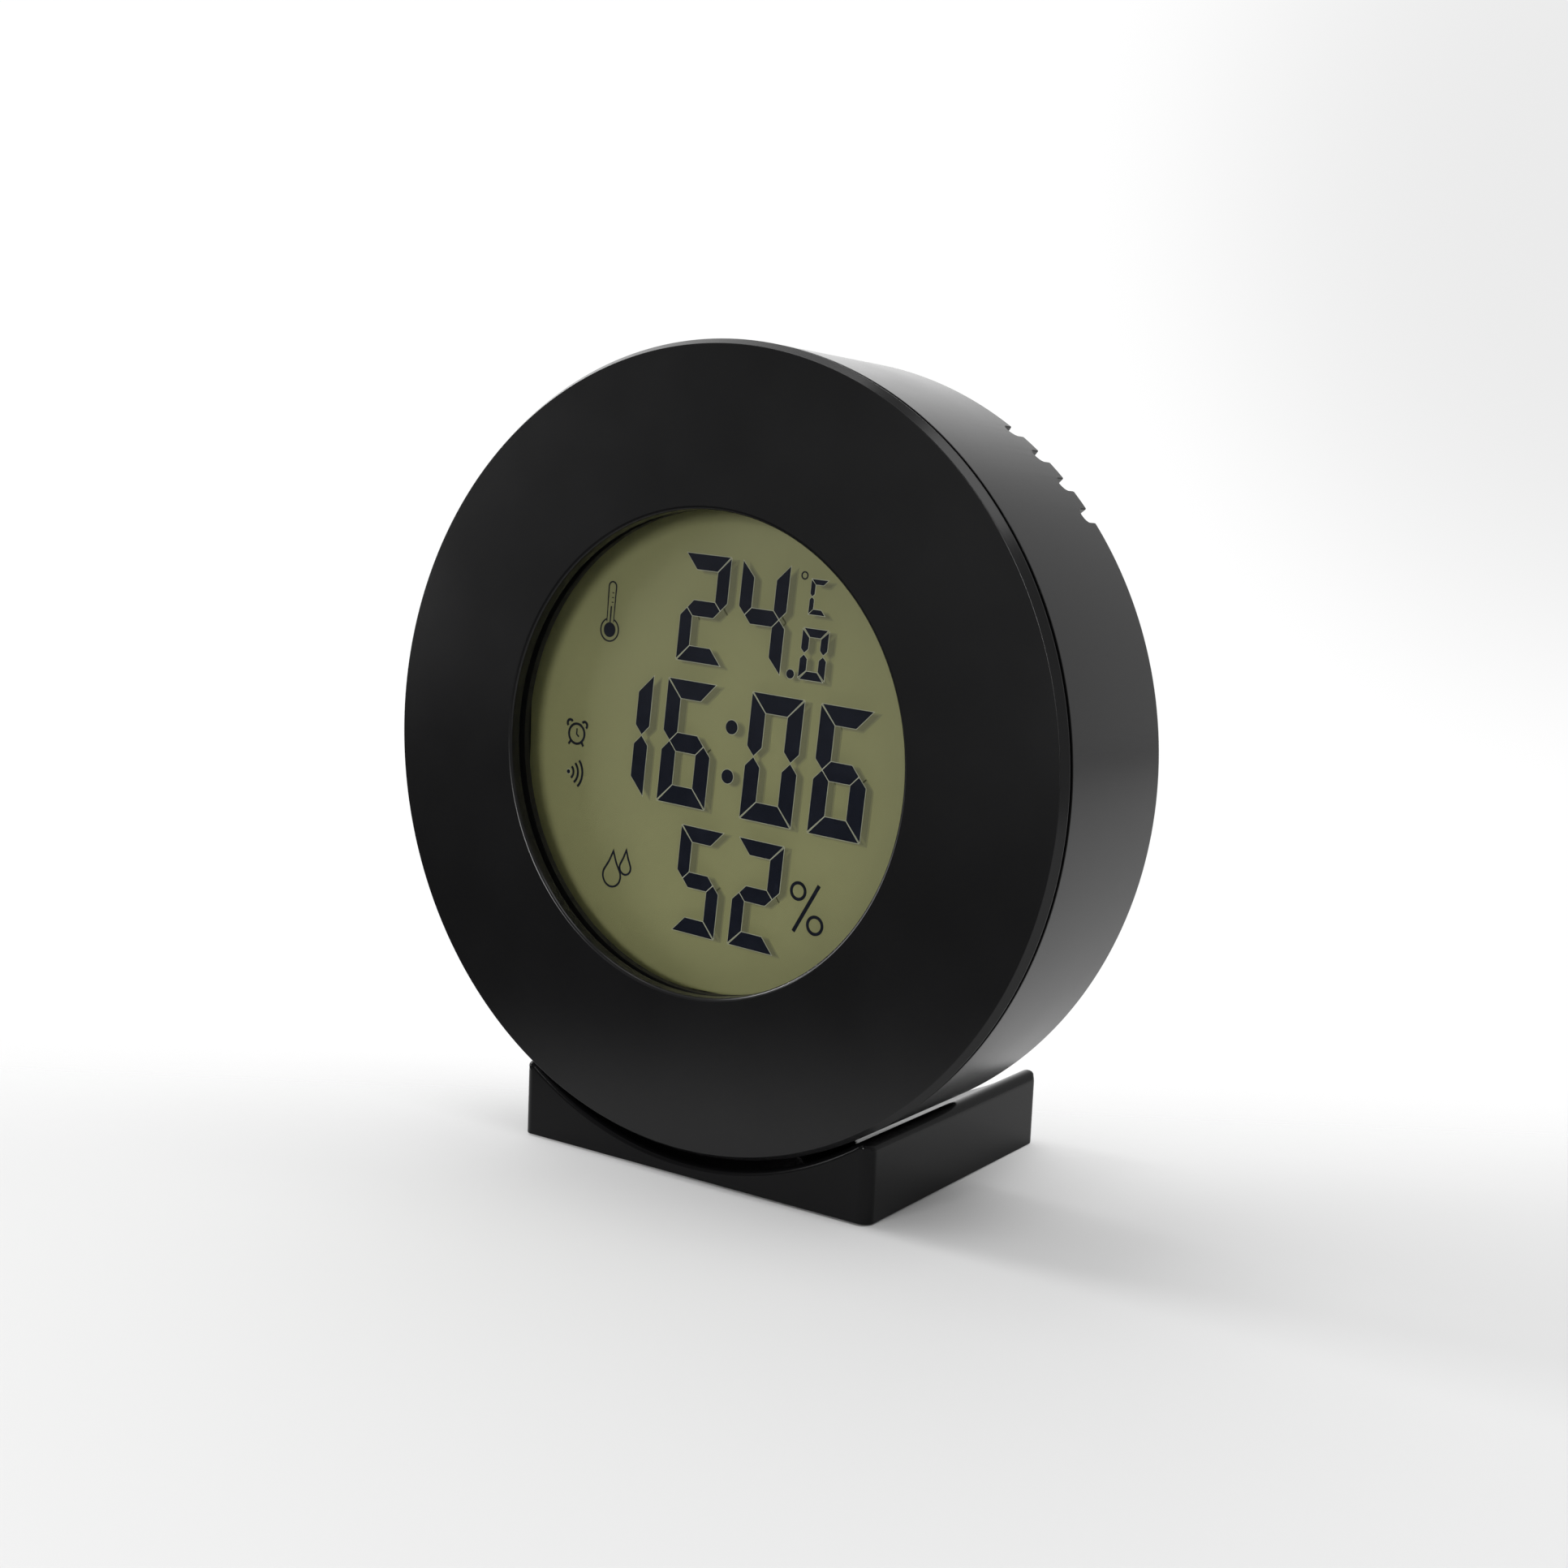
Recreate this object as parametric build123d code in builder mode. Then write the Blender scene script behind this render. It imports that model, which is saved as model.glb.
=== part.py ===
from build123d import *
import os
from math import cos, radians, sin, sqrt

# Round desk clock with a thermometer and a hygrometer, on a curved cradle.
# Millimetres. X is the clock's right seen from the front, Y runs to the back, Z is up.
# The origin is on the table, under the middle of the cradle.

os.makedirs("parts", exist_ok=True)

# Clearances
snug_gap = 0.1
slide_gap = 0.2
loose_gap = 0.3
overrun = 1.0

# Drum walls and roundings
case_wall = 2.0
back_wall = 2.0
front_chamfer = 0.65
chamfer_land = 0.1
back_rounding = 0.8
land_depth = 1.1
seam_width = 0.7

# Front bezel and window
window_radius = 29.8
window_rounding = 0.5
lens_seat_depth = 1.6
lens_thickness = 1.2
lens_lip = 2.0
lens_collar_wall = 1.5
spigot_wall = 1.6
spigot_end = 6.0
front_chamfer_depth = land_depth - chamfer_land
lens_radius = window_radius + lens_lip
lens_back = lens_seat_depth + lens_thickness

# Display
glass_side = 1.5
glass_ledge = 1.4
glass_overlap = 0.6
front_glass_thickness = 0.6
rear_glass_thickness = 1.1
reflector_thickness = 0.2
reflector_margin = 0.25
frame_plate = 0.9
frame_wall = 1.2
frame_corner = 3.0
frame_fit = 0.15
frame_margin = 0.73
strip_margin = 1.25
strip_height = 3.6
ear_reach = 3.9
ear_level = 20.0
ear_radius = 3.2
ear_thickness = 1.5
frame_window_radius = window_radius + slide_gap
glass_width = 2 * (frame_window_radius + glass_side)
rear_glass_height = 2 * (frame_window_radius + glass_overlap)
front_glass_height = rear_glass_height + 2 * glass_ledge
frame_width = glass_width + 2 * (frame_fit + frame_wall)
frame_height = front_glass_height + 2 * (frame_fit + frame_wall)
ear_offset = frame_width / 2 + ear_reach
strip_length = glass_width - 2 * strip_margin
strip_width = glass_ledge - loose_gap
frame_front = lens_back + snug_gap
front_glass_front = frame_front + frame_plate
rear_glass_front = front_glass_front + front_glass_thickness
reflector_front = rear_glass_front + rear_glass_thickness

# The drum goes round the corners of the display frame
frame_reach = sqrt((frame_width / 2 - frame_corner) ** 2 + (frame_height / 2 - frame_corner) ** 2)
case_radius = frame_reach + frame_corner + frame_margin + spigot_wall + snug_gap + case_wall
case_bore = case_radius - case_wall
spigot_radius = case_bore - snug_gap

# Circuit board
board_thickness = 1.6
chip_radius = 4.5
chip_height = 0.8
chip_x = -13.0
crystal_radius = 1.0
crystal_length = 6.0
crystal_x = 2.0
capacitor_radius = 2.5
capacitor_height = 7.0
capacitor_x = 14.0
board_front = rear_glass_front + strip_height
board_back = board_front + board_thickness

# Battery bay and door
cell_diameter = 10.5
cell_body_length = 43.6
cell_nub_radius = 1.9
cell_nub_length = 0.9
cell_spacing = 0.5
bay_margin = 0.25
bay_wall = 1.8
bay_floor = 1.2
bay_floor_gap = 1.0
bay_ledge = 0.9
bay_corner = 1.0
bay_rim_gap = 7.2
door_thickness = 1.8
door_gap = 0.2
door_corner = 1.8
door_rib_height = 1.0
door_rib_width = 2.0
door_rib_offset = 12.0
hook_offset = 14.0
hook_width = 8.0
hook_post = 1.4
hook_thickness = 1.4
hook_reach = 0.8
hook_inset = 1.3
hook_swing_room = 0.6
finger_radius = 4.5
finger_depth = 0.9
contact_thickness = 0.4
contact_width = 7.6
contact_tail_width = 3.0
contact_back_gap = 1.2
contact_spring = 5.5
leaf_width = 5.0
leaf_rise = 3.6
cell_radius = cell_diameter / 2
cell_pitch = cell_diameter + cell_spacing
cell_length = cell_body_length + cell_nub_length
contact_face = (cell_length + contact_spring) / 2
bay_half_width = contact_face + contact_thickness + snug_gap
bay_half_height = cell_pitch / 2 + cell_radius + bay_margin
bay_floor_front = board_back + bay_floor_gap
bay_floor_back = bay_floor_front + bay_floor
cell_depth = bay_floor_back + snug_gap + cell_radius
rib_front = cell_depth + cell_radius + loose_gap
door_inner = rib_front + door_rib_height
body_depth = door_inner + door_thickness
wall_inner = body_depth - back_wall
bay_drop = sqrt((case_bore - bay_rim_gap) ** 2 - (bay_half_width + bay_wall) ** 2)
bay_centre_z = bay_half_height + bay_wall - bay_drop
bay_top = bay_centre_z + bay_half_height + bay_ledge
door_half_width = bay_half_width + bay_ledge - door_gap
door_half_height = bay_half_height + bay_ledge - door_gap

# Cradle
base_width = 54.3
base_depth = 43.5
base_floor = 1.95
cradle_gap = 1.55
tip_gap = 0.2
face_overhang = 1.35
tip_rounding = 1.3
base_edge_rounding = 1.1
underside_chamfer = 0.2
pad_thickness = 0.8
pad_proud = 0.1
pad_margin = 2.2
pad_corner = 1.5
neck_width = 30.0
neck_length = 12.0
neck_corner = 2.0
axis_height = pad_proud + base_floor + cradle_gap + case_radius
tip_height = axis_height - sqrt((case_radius + tip_gap) ** 2 - (base_width / 2) ** 2)
face_y = -base_depth / 2 - face_overhang
neck_y = face_y + body_depth / 2

# Screws
case_screw_angles = (12.0, 168.0, 243.0, 297.0)
case_screw_radius = 1.15
case_screw_head_radius = 2.2
case_screw_head_height = 1.5
case_screw_length = 7.0
case_boss_radius = 3.3
case_boss_margin = 0.4
case_boss_reach = 2.8
well_floor = 1.8
well_bore = 2.6
well_wall = 1.4
board_screw_radius = 0.95
board_screw_head_radius = 1.9
board_screw_head_height = 1.3
board_screw_length = 6.2
board_boss_radius = 2.6
base_screw_offset = 9.0
base_screw_radius = 1.25
base_screw_head_radius = 2.4
base_screw_head_height = 1.5
base_screw_length = 8.0
base_post_radius = 3.0
base_post_height = 7.0
screw_hole_fit = 0.05
drive_slot_width = 0.5
drive_slot_depth = 0.6
drive_slot_share = 0.65
case_screw_circle = spigot_radius - spigot_wall - case_boss_margin - case_boss_radius
case_boss_end = spigot_end + case_boss_reach

# Antenna across the top of the drum
antenna_margin = 0.5
antenna_inset = 6.5
antenna_radius = 3.0
antenna_length = 40.0
coil_radius = 4.2
coil_length = 22.0
saddle_offset = 17.0
saddle_width = 3.0
saddle_wall = 1.6
saddle_end = saddle_offset + saddle_width / 2
saddle_half_height = antenna_radius + snug_gap + saddle_wall
antenna_z = sqrt((case_bore - antenna_margin) ** 2 - saddle_end**2) - saddle_half_height
antenna_depth = wall_inner - antenna_inset

# Push buttons and their switches on the board
button_count = 4
button_pitch = 14.0
button_level_share = 0.406
button_radius = 3.0
button_travel = 0.5
button_rounding = 0.3
button_flange_extra = 0.8
button_flange_thickness = 0.8
button_stem_radius = 1.6
strip_recess_depth = 0.6
strip_recess_margin = 2.0
switch_width = 6.0
switch_height = 3.6
switch_floor = 0.6
plunger_radius = 1.7
plunger_reach = 3.4
button_z = bay_top + button_level_share * (antenna_z - bay_top)

# Alarm slide switch
slider_level_share = 0.72
slider_travel = 2.0
grip_length = 3.6
grip_height = 3.4
grip_recess_depth = 0.9
grip_recess_margin = 2.4
grip_recess_side = 0.8
grip_ridge_depth = 0.3
grip_ridge_width = 0.45
slider_plate_length = 12.0
slider_plate_height = 6.4
slider_plate_thickness = 0.9
slider_stem_length = 3.0
slider_stem_height = 2.8
slider_stem_rise = 2.5
lever_length = 1.4
lever_height = 1.2
lever_grip = 2.0
slide_switch_length = 9.0
slide_switch_height = 4.0
slide_switch_depth = 3.6
slide_switch_floor = 1.2
slider_z = bay_top + slider_level_share * (antenna_z - bay_top)
plate_back = wall_inner - snug_gap
plate_front = plate_back - slider_plate_thickness
lever_top = plate_front - slider_stem_rise

# Sounder behind the sound holes
sounder_angle = 133.0
sounder_margin = 2.5
sounder_radius = 7.5
sounder_plate = 0.3
sounder_crystal_radius = 5.0
sounder_crystal = 0.2
sounder_ring_wall = 1.1
sounder_chamber = 1.5
sounder_lip = 1.0
sound_hole_radius = 0.8
sound_hole_circle = 3.4
sound_hole_count = 6
sounder_ring_radius = sounder_radius + snug_gap + sounder_ring_wall
sounder_place = case_bore - sounder_margin - sounder_ring_radius
sounder_x = sounder_place * cos(radians(sounder_angle))
sounder_z = sounder_place * sin(radians(sounder_angle))

# Vents and the sensor behind them
vent_angles = (38.3, 43.8, 49.3, 54.8)
vent_width = 1.9
vent_depth = 3.0
vent_reach = 12.0
sensor_angle = 46.5
sensor_margin = 7.0
sensor_inset = 5.5
sensor_board_length = 11.0
sensor_board_width = 9.0
sensor_board_thickness = 1.0
sensor_size = 3.0
sensor_height = 1.1
sensor_edge = 3.5
sensor_peg_radius = 1.2
sensor_peg_inset = 1.8
vent_inner_radius = case_bore - vent_reach
sensor_board_outer = case_bore - sensor_margin
sensor_board_inner = sensor_board_outer - sensor_board_length
sensor_board_depth = wall_inner - sensor_inset


def drum_plane(depth, x=0, z=0):
    """Plane across the drum at a depth behind the face, seen from the front."""
    return Plane(origin=(x, face_y + depth, axis_height + z), x_dir=(1, 0, 0), z_dir=(0, -1, 0))


def extrude_back(length, mode=Mode.ADD):
    """Extrude the pending sketch of a drum plane towards the back."""
    return extrude(amount=-length, mode=mode)


def ring(outer, inner):
    """Ring sketch, made in the active sketch."""
    Circle(outer)
    Circle(inner, mode=Mode.SUBTRACT)


def drive_cross(head_radius):
    """Cross recess of a screw head, made in the active sketch."""
    Rectangle(2 * drive_slot_share * head_radius, drive_slot_width)
    Rectangle(drive_slot_width, 2 * drive_slot_share * head_radius)


case_screw_places = [
    (case_screw_circle * cos(radians(angle)), case_screw_circle * sin(radians(angle)))
    for angle in case_screw_angles
]
ear_places = [(side * ear_offset, level * ear_level) for side in (-1, 1) for level in (-1, 1)]
row_between = (button_z + slider_z) / 2
button_places = [
    ((index - (button_count - 1) / 2) * button_pitch, button_z) for index in range(button_count)
]
button_names = ("set", "down", "up", "unit")

# Front bezel: the ring-shaped face with its window, and the spigot that fits the rear shell
with BuildPart() as front_bezel:
    with BuildSketch(drum_plane(0)):
        ring(case_radius, window_radius)
    extrude_back(land_depth)
    with BuildSketch(drum_plane(land_depth)):
        ring(spigot_radius, window_radius)
    extrude_back(lens_seat_depth - land_depth)
    with BuildSketch(drum_plane(lens_seat_depth)):
        ring(spigot_radius, spigot_radius - spigot_wall)
    extrude_back(spigot_end - lens_seat_depth)
    with BuildSketch(drum_plane(lens_seat_depth)):
        ring(lens_radius + snug_gap + lens_collar_wall, lens_radius + snug_gap)
    extrude_back(lens_thickness)
    with BuildSketch(drum_plane(lens_seat_depth)):
        with Locations(*case_screw_places):
            Circle(case_boss_radius)
    extrude_back(case_boss_end - lens_seat_depth)
    with BuildSketch(drum_plane(lens_seat_depth)):
        with Locations(*ear_places):
            Circle(board_boss_radius)
    extrude_back(board_front - ear_thickness - lens_seat_depth)
    with BuildSketch(drum_plane(case_boss_end - case_screw_length)):
        with Locations(*case_screw_places):
            Circle(case_screw_radius + screw_hole_fit)
    extrude_back(case_screw_length + overrun, mode=Mode.SUBTRACT)
    with BuildSketch(drum_plane(board_back - board_screw_length - snug_gap)):
        with Locations(*ear_places):
            Circle(board_screw_radius + screw_hole_fit)
    extrude_back(board_screw_length, mode=Mode.SUBTRACT)
    face_edges = front_bezel.edges().filter_by(GeomType.CIRCLE).group_by(Axis.Y)[0]
    front_face = front_bezel.faces().sort_by(Axis.Y)[0]
    chamfer(face_edges.sort_by(SortBy.RADIUS)[-1], front_chamfer, front_chamfer_depth, reference=front_face)
    face_edges = front_bezel.edges().filter_by(GeomType.CIRCLE).group_by(Axis.Y)[0]
    fillet(face_edges.sort_by(SortBy.RADIUS)[0], window_rounding)
front_bezel.part.label = "front_bezel"
export_step(front_bezel.part, "parts/front_bezel.step")

# Window lens: a clear disc seated behind the window
with BuildPart() as window_lens:
    with BuildSketch(drum_plane(lens_seat_depth)):
        Circle(lens_radius)
    extrude_back(lens_thickness)
window_lens.part.label = "window_lens"
export_step(window_lens.part, "parts/window_lens.step")

# Display frame: holds the display glass behind the lens, on four ears
with BuildPart() as display_frame:
    with BuildSketch(drum_plane(frame_front)):
        RectangleRounded(frame_width, frame_height, frame_corner)
        Circle(frame_window_radius, mode=Mode.SUBTRACT)
    extrude_back(frame_plate)
    with BuildSketch(drum_plane(front_glass_front)):
        RectangleRounded(frame_width, frame_height, frame_corner)
        Rectangle(glass_width + 2 * frame_fit, front_glass_height + 2 * frame_fit, mode=Mode.SUBTRACT)
    extrude_back(board_front - front_glass_front)
    with BuildSketch(drum_plane(board_front - ear_thickness)):
        with Locations(*ear_places):
            Circle(ear_radius)
        for side in (-1, 1):
            ear_root = (frame_width - frame_wall) / 2
            with Locations(*[(side * (ear_root + ear_offset) / 2, end * ear_level) for end in (-1, 1)]):
                Rectangle(ear_offset - ear_root, 2 * ear_radius)
        with Locations(*ear_places):
            Circle(board_screw_radius + snug_gap, mode=Mode.SUBTRACT)
    extrude_back(ear_thickness)
display_frame.part.label = "display_frame"
export_step(display_frame.part, "parts/display_frame.step")

# Display front glass
with BuildPart() as display_front_glass:
    with BuildSketch(drum_plane(front_glass_front)):
        Rectangle(glass_width, front_glass_height)
    extrude_back(front_glass_thickness)
display_front_glass.part.label = "display_front_glass"
export_step(display_front_glass.part, "parts/display_front_glass.step")

# Display rear glass, shorter so that the front glass leaves a contact ledge
with BuildPart() as display_rear_glass:
    with BuildSketch(drum_plane(rear_glass_front)):
        Rectangle(glass_width, rear_glass_height)
    extrude_back(rear_glass_thickness)
display_rear_glass.part.label = "display_rear_glass"
export_step(display_rear_glass.part, "parts/display_rear_glass.step")

# Display reflector film
with BuildPart() as display_reflector:
    with BuildSketch(drum_plane(reflector_front)):
        Rectangle(glass_width - 2 * reflector_margin, rear_glass_height - 2 * reflector_margin)
    extrude_back(reflector_thickness)
display_reflector.part.label = "display_reflector"
export_step(display_reflector.part, "parts/display_reflector.step")

# Two rubber contact strips between the ledges of the glass and the board
ledge_centre = rear_glass_height / 2 + (front_glass_height - rear_glass_height) / 4
with BuildPart() as contact_strips:
    with BuildSketch(drum_plane(rear_glass_front)):
        with Locations((0, ledge_centre), (0, -ledge_centre)):
            Rectangle(strip_length, strip_width)
    extrude_back(strip_height)
contact_strips.part.label = "contact_strips"
export_step(contact_strips.part, "parts/contact_strips.step")

# Circuit board with the same ears as the display frame
with BuildPart() as circuit_board:
    with BuildSketch(drum_plane(board_front)):
        RectangleRounded(frame_width, frame_height, frame_corner)
        with Locations(*ear_places):
            Circle(ear_radius)
        for level in (-1, 1):
            with Locations((0, level * ear_level)):
                Rectangle(2 * ear_offset, 2 * ear_radius)
        with Locations(*ear_places):
            Circle(board_screw_radius + snug_gap, mode=Mode.SUBTRACT)
    extrude_back(board_thickness)
circuit_board.part.label = "circuit_board"
export_step(circuit_board.part, "parts/circuit_board.step")

# Four screws that hold the board and the display frame to the bezel
with BuildPart() as board_screws:
    with BuildSketch(drum_plane(board_back)):
        with Locations(*ear_places):
            Circle(board_screw_head_radius)
    extrude_back(board_screw_head_height)
    with BuildSketch(drum_plane(board_back - board_screw_length)):
        with Locations(*ear_places):
            Circle(board_screw_radius)
    extrude_back(board_screw_length)
    with BuildSketch(drum_plane(board_back + board_screw_head_height - drive_slot_depth)):
        with Locations(*ear_places):
            drive_cross(board_screw_head_radius)
    extrude_back(drive_slot_depth + overrun, mode=Mode.SUBTRACT)
board_screws.part.label = "board_screws"
export_step(board_screws.part, "parts/board_screws.step")

# Clock chip under its round cap of resin
with BuildPart() as clock_chip:
    with BuildSketch(drum_plane(board_back, chip_x, (bay_top + button_z) / 2)):
        Circle(chip_radius)
    extrude_back(chip_height)
    fillet(clock_chip.faces().sort_by(Axis.Y)[-1].edges(), chip_height / 2)
clock_chip.part.label = "clock_chip"
export_step(clock_chip.part, "parts/clock_chip.step")

# Quartz crystal, a small can that lies on the board
with BuildPart() as quartz_crystal:
    with BuildSketch(Plane.YZ.offset(crystal_x)):
        with Locations((face_y + board_back + crystal_radius, axis_height + row_between)):
            Circle(crystal_radius)
    extrude(amount=crystal_length)
quartz_crystal.part.label = "quartz_crystal"
export_step(quartz_crystal.part, "parts/quartz_crystal.step")

# Capacitor, a can that stands on the board
with BuildPart() as capacitor:
    with BuildSketch(drum_plane(board_back, capacitor_x, row_between)):
        Circle(capacitor_radius)
    extrude_back(capacitor_height)
capacitor.part.label = "capacitor"
export_step(capacitor.part, "parts/capacitor.step")

# Housings of the four push switches
switch_top = board_back + switch_height
with BuildPart() as push_switches:
    with BuildSketch(drum_plane(board_back)):
        with Locations(*button_places):
            Rectangle(switch_width, switch_width)
    extrude_back(switch_height)
    with BuildSketch(drum_plane(board_back + switch_floor)):
        with Locations(*button_places):
            Circle(plunger_radius + snug_gap)
    extrude_back(switch_height, mode=Mode.SUBTRACT)
push_switches.part.label = "push_switches"
export_step(push_switches.part, "parts/push_switches.step")

# Housing of the slide switch, with the slot of its lever
rest_x = -slider_travel / 2
with BuildPart() as slide_switch:
    with BuildSketch(drum_plane(board_back, 0, slider_z)):
        Rectangle(slide_switch_length, slide_switch_height)
    extrude_back(slide_switch_depth)
    with BuildSketch(drum_plane(board_back + slide_switch_floor, 0, slider_z)):
        Rectangle(lever_length + slider_travel + 2 * slide_gap, lever_height + 2 * slide_gap)
    extrude_back(slide_switch_depth, mode=Mode.SUBTRACT)
slide_switch.part.label = "slide_switch"
export_step(slide_switch.part, "parts/slide_switch.step")

# Lever of the slide switch
lever_bottom = board_back + slide_switch_floor + slide_gap
with BuildPart() as slide_lever:
    with BuildSketch(drum_plane(lever_bottom, rest_x, slider_z)):
        Rectangle(lever_length, lever_height)
    extrude_back(lever_top - lever_bottom)
slide_lever.part.label = "slide_lever"
export_step(slide_lever.part, "parts/slide_lever.step")

# Knob of the alarm slide switch: plate and stem inside the shell, ridged grip outside
with BuildPart() as alarm_knob:
    with BuildSketch(drum_plane(plate_front, rest_x, slider_z)):
        Rectangle(slider_plate_length, slider_plate_height)
    extrude_back(slider_plate_thickness)
    with BuildSketch(drum_plane(plate_back, rest_x, slider_z)):
        Rectangle(grip_length, grip_height)
    extrude_back(body_depth - plate_back)
    with BuildSketch(drum_plane(lever_top - lever_grip, rest_x, slider_z)):
        Rectangle(slider_stem_length, slider_stem_height)
    extrude_back(plate_front - lever_top + lever_grip)
    with BuildSketch(drum_plane(lever_top - lever_grip, rest_x, slider_z)):
        Rectangle(lever_length + 2 * snug_gap, lever_height + 2 * snug_gap)
    extrude_back(lever_grip + snug_gap, mode=Mode.SUBTRACT)
    with BuildSketch(drum_plane(body_depth - grip_ridge_depth, rest_x, slider_z)):
        with GridLocations(2 * grip_ridge_width, 0, 3, 1):
            Rectangle(grip_ridge_width, grip_height)
    extrude_back(grip_ridge_depth + overrun, mode=Mode.SUBTRACT)
alarm_knob.part.label = "alarm_knob"
export_step(alarm_knob.part, "parts/alarm_knob.step")

# Push buttons, each with the plunger of its switch, as separate moving pieces
plunger_top = switch_top + plunger_reach
flange_back = wall_inner - snug_gap
for button_name, (button_x, button_level) in zip(button_names, button_places):
    with BuildPart() as button:
        with BuildSketch(drum_plane(flange_back - button_flange_thickness, button_x, button_level)):
            Circle(button_radius + button_flange_extra)
        extrude_back(button_flange_thickness)
        with BuildSketch(drum_plane(flange_back, button_x, button_level)):
            Circle(button_radius)
        extrude_back(body_depth - flange_back)
        with BuildSketch(drum_plane(plunger_top, button_x, button_level)):
            Circle(button_stem_radius)
        extrude_back(flange_back - button_flange_thickness - plunger_top)
        fillet(button.faces().sort_by(Axis.Y)[-1].edges(), button_rounding)
    button.part.label = "button_" + button_name
    export_step(button.part, "parts/button_" + button_name + ".step")

    plunger_bottom = board_back + switch_floor + button_travel + slide_gap
    with BuildPart() as plunger:
        with BuildSketch(drum_plane(plunger_bottom, button_x, button_level)):
            Circle(plunger_radius)
        extrude_back(plunger_top - plunger_bottom)
    plunger.part.label = "plunger_" + button_name
    export_step(plunger.part, "parts/plunger_" + button_name + ".step")

# Rear shell: drum and back wall in one, with the battery bay, wells, vents and mounts
hook_front = door_inner - hook_inset - hook_thickness
with BuildPart() as rear_shell:
    with BuildSketch(drum_plane(land_depth + seam_width)):
        ring(case_radius, case_bore)
    extrude_back(body_depth - land_depth - seam_width)
    with BuildSketch(drum_plane(wall_inner)):
        Circle(case_radius)
    extrude_back(back_wall)
    fillet(
        rear_shell.faces().sort_by(Axis.Y)[-1].edges().sort_by(SortBy.RADIUS)[-1],
        back_rounding,
    )
    # screw wells
    with BuildSketch(drum_plane(case_boss_end)):
        with Locations(*case_screw_places):
            Circle(well_bore + well_wall)
    extrude_back(wall_inner - case_boss_end)
    with BuildSketch(drum_plane(case_boss_end + well_floor)):
        with Locations(*case_screw_places):
            Circle(well_bore)
    extrude_back(body_depth, mode=Mode.SUBTRACT)
    with BuildSketch(drum_plane(case_boss_end - overrun)):
        with Locations(*case_screw_places):
            Circle(case_screw_radius + slide_gap)
    extrude_back(well_floor + 2 * overrun, mode=Mode.SUBTRACT)
    # battery bay
    with BuildSketch(drum_plane(bay_floor_front, 0, bay_centre_z)):
        RectangleRounded(2 * (bay_half_width + bay_wall), 2 * (bay_half_height + bay_wall), bay_corner)
    extrude_back(wall_inner - bay_floor_front)
    with BuildSketch(drum_plane(bay_floor_back, 0, bay_centre_z)):
        Rectangle(2 * bay_half_width, 2 * bay_half_height)
    extrude_back(body_depth, mode=Mode.SUBTRACT)
    with BuildSketch(drum_plane(door_inner, 0, bay_centre_z)):
        RectangleRounded(
            2 * (bay_half_width + bay_ledge), 2 * (bay_half_height + bay_ledge), door_corner + door_gap
        )
    extrude_back(body_depth, mode=Mode.SUBTRACT)
    with BuildSketch(drum_plane(body_depth - finger_depth, 0, bay_centre_z + door_half_height)):
        Circle(finger_radius)
    extrude_back(finger_depth + overrun, mode=Mode.SUBTRACT)
    # windows for the hooks of the door, and slots for the contact tails
    with BuildSketch(drum_plane(hook_front - hook_swing_room, 0, bay_centre_z - bay_half_height - bay_wall / 2)):
        with GridLocations(2 * hook_offset, 0, 2, 1):
            Rectangle(hook_width + 2 * loose_gap, bay_wall + overrun)
    extrude_back(wall_inner - hook_front + hook_swing_room, mode=Mode.SUBTRACT)
    with BuildSketch(drum_plane(bay_floor_front - overrun, contact_face + contact_thickness / 2, bay_centre_z)):
        with GridLocations(0, cell_pitch, 1, 2):
            Rectangle(contact_thickness + 2 * snug_gap, contact_tail_width + 2 * slide_gap)
    extrude_back(bay_floor + 2 * overrun, mode=Mode.SUBTRACT)
    # row of buttons in a shallow recess
    with BuildSketch(drum_plane(body_depth - strip_recess_depth, 0, button_z)):
        SlotOverall(
            (button_count - 1) * button_pitch + 2 * (button_radius + strip_recess_margin),
            2 * (button_radius + strip_recess_margin),
        )
    extrude_back(strip_recess_depth + overrun, mode=Mode.SUBTRACT)
    with BuildSketch(drum_plane(wall_inner - overrun)):
        with Locations(*button_places):
            Circle(button_radius + slide_gap)
    extrude_back(back_wall + 2 * overrun, mode=Mode.SUBTRACT)
    # slide switch recess and slot
    with BuildSketch(drum_plane(body_depth - grip_recess_depth, 0, slider_z)):
        SlotOverall(
            grip_length + slider_travel + 2 * (slide_gap + grip_recess_margin),
            grip_height + 2 * (slide_gap + grip_recess_side),
        )
    extrude_back(grip_recess_depth + overrun, mode=Mode.SUBTRACT)
    with BuildSketch(drum_plane(wall_inner - overrun, 0, slider_z)):
        Rectangle(grip_length + slider_travel + 2 * slide_gap, grip_height + 2 * slide_gap)
    extrude_back(back_wall + 2 * overrun, mode=Mode.SUBTRACT)
    # sounder seat and sound holes
    with BuildSketch(drum_plane(wall_inner - sounder_chamber - sounder_plate, sounder_x, sounder_z)):
        ring(sounder_ring_radius, sounder_radius + snug_gap)
    extrude_back(sounder_chamber + sounder_plate)
    with BuildSketch(drum_plane(wall_inner - sounder_chamber, sounder_x, sounder_z)):
        ring(sounder_ring_radius, sounder_radius - sounder_lip)
    extrude_back(sounder_chamber)
    with BuildSketch(drum_plane(wall_inner - overrun, sounder_x, sounder_z)):
        Circle(sound_hole_radius)
        with PolarLocations(sound_hole_circle, sound_hole_count):
            Circle(sound_hole_radius)
    extrude_back(back_wall + 2 * overrun, mode=Mode.SUBTRACT)
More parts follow.
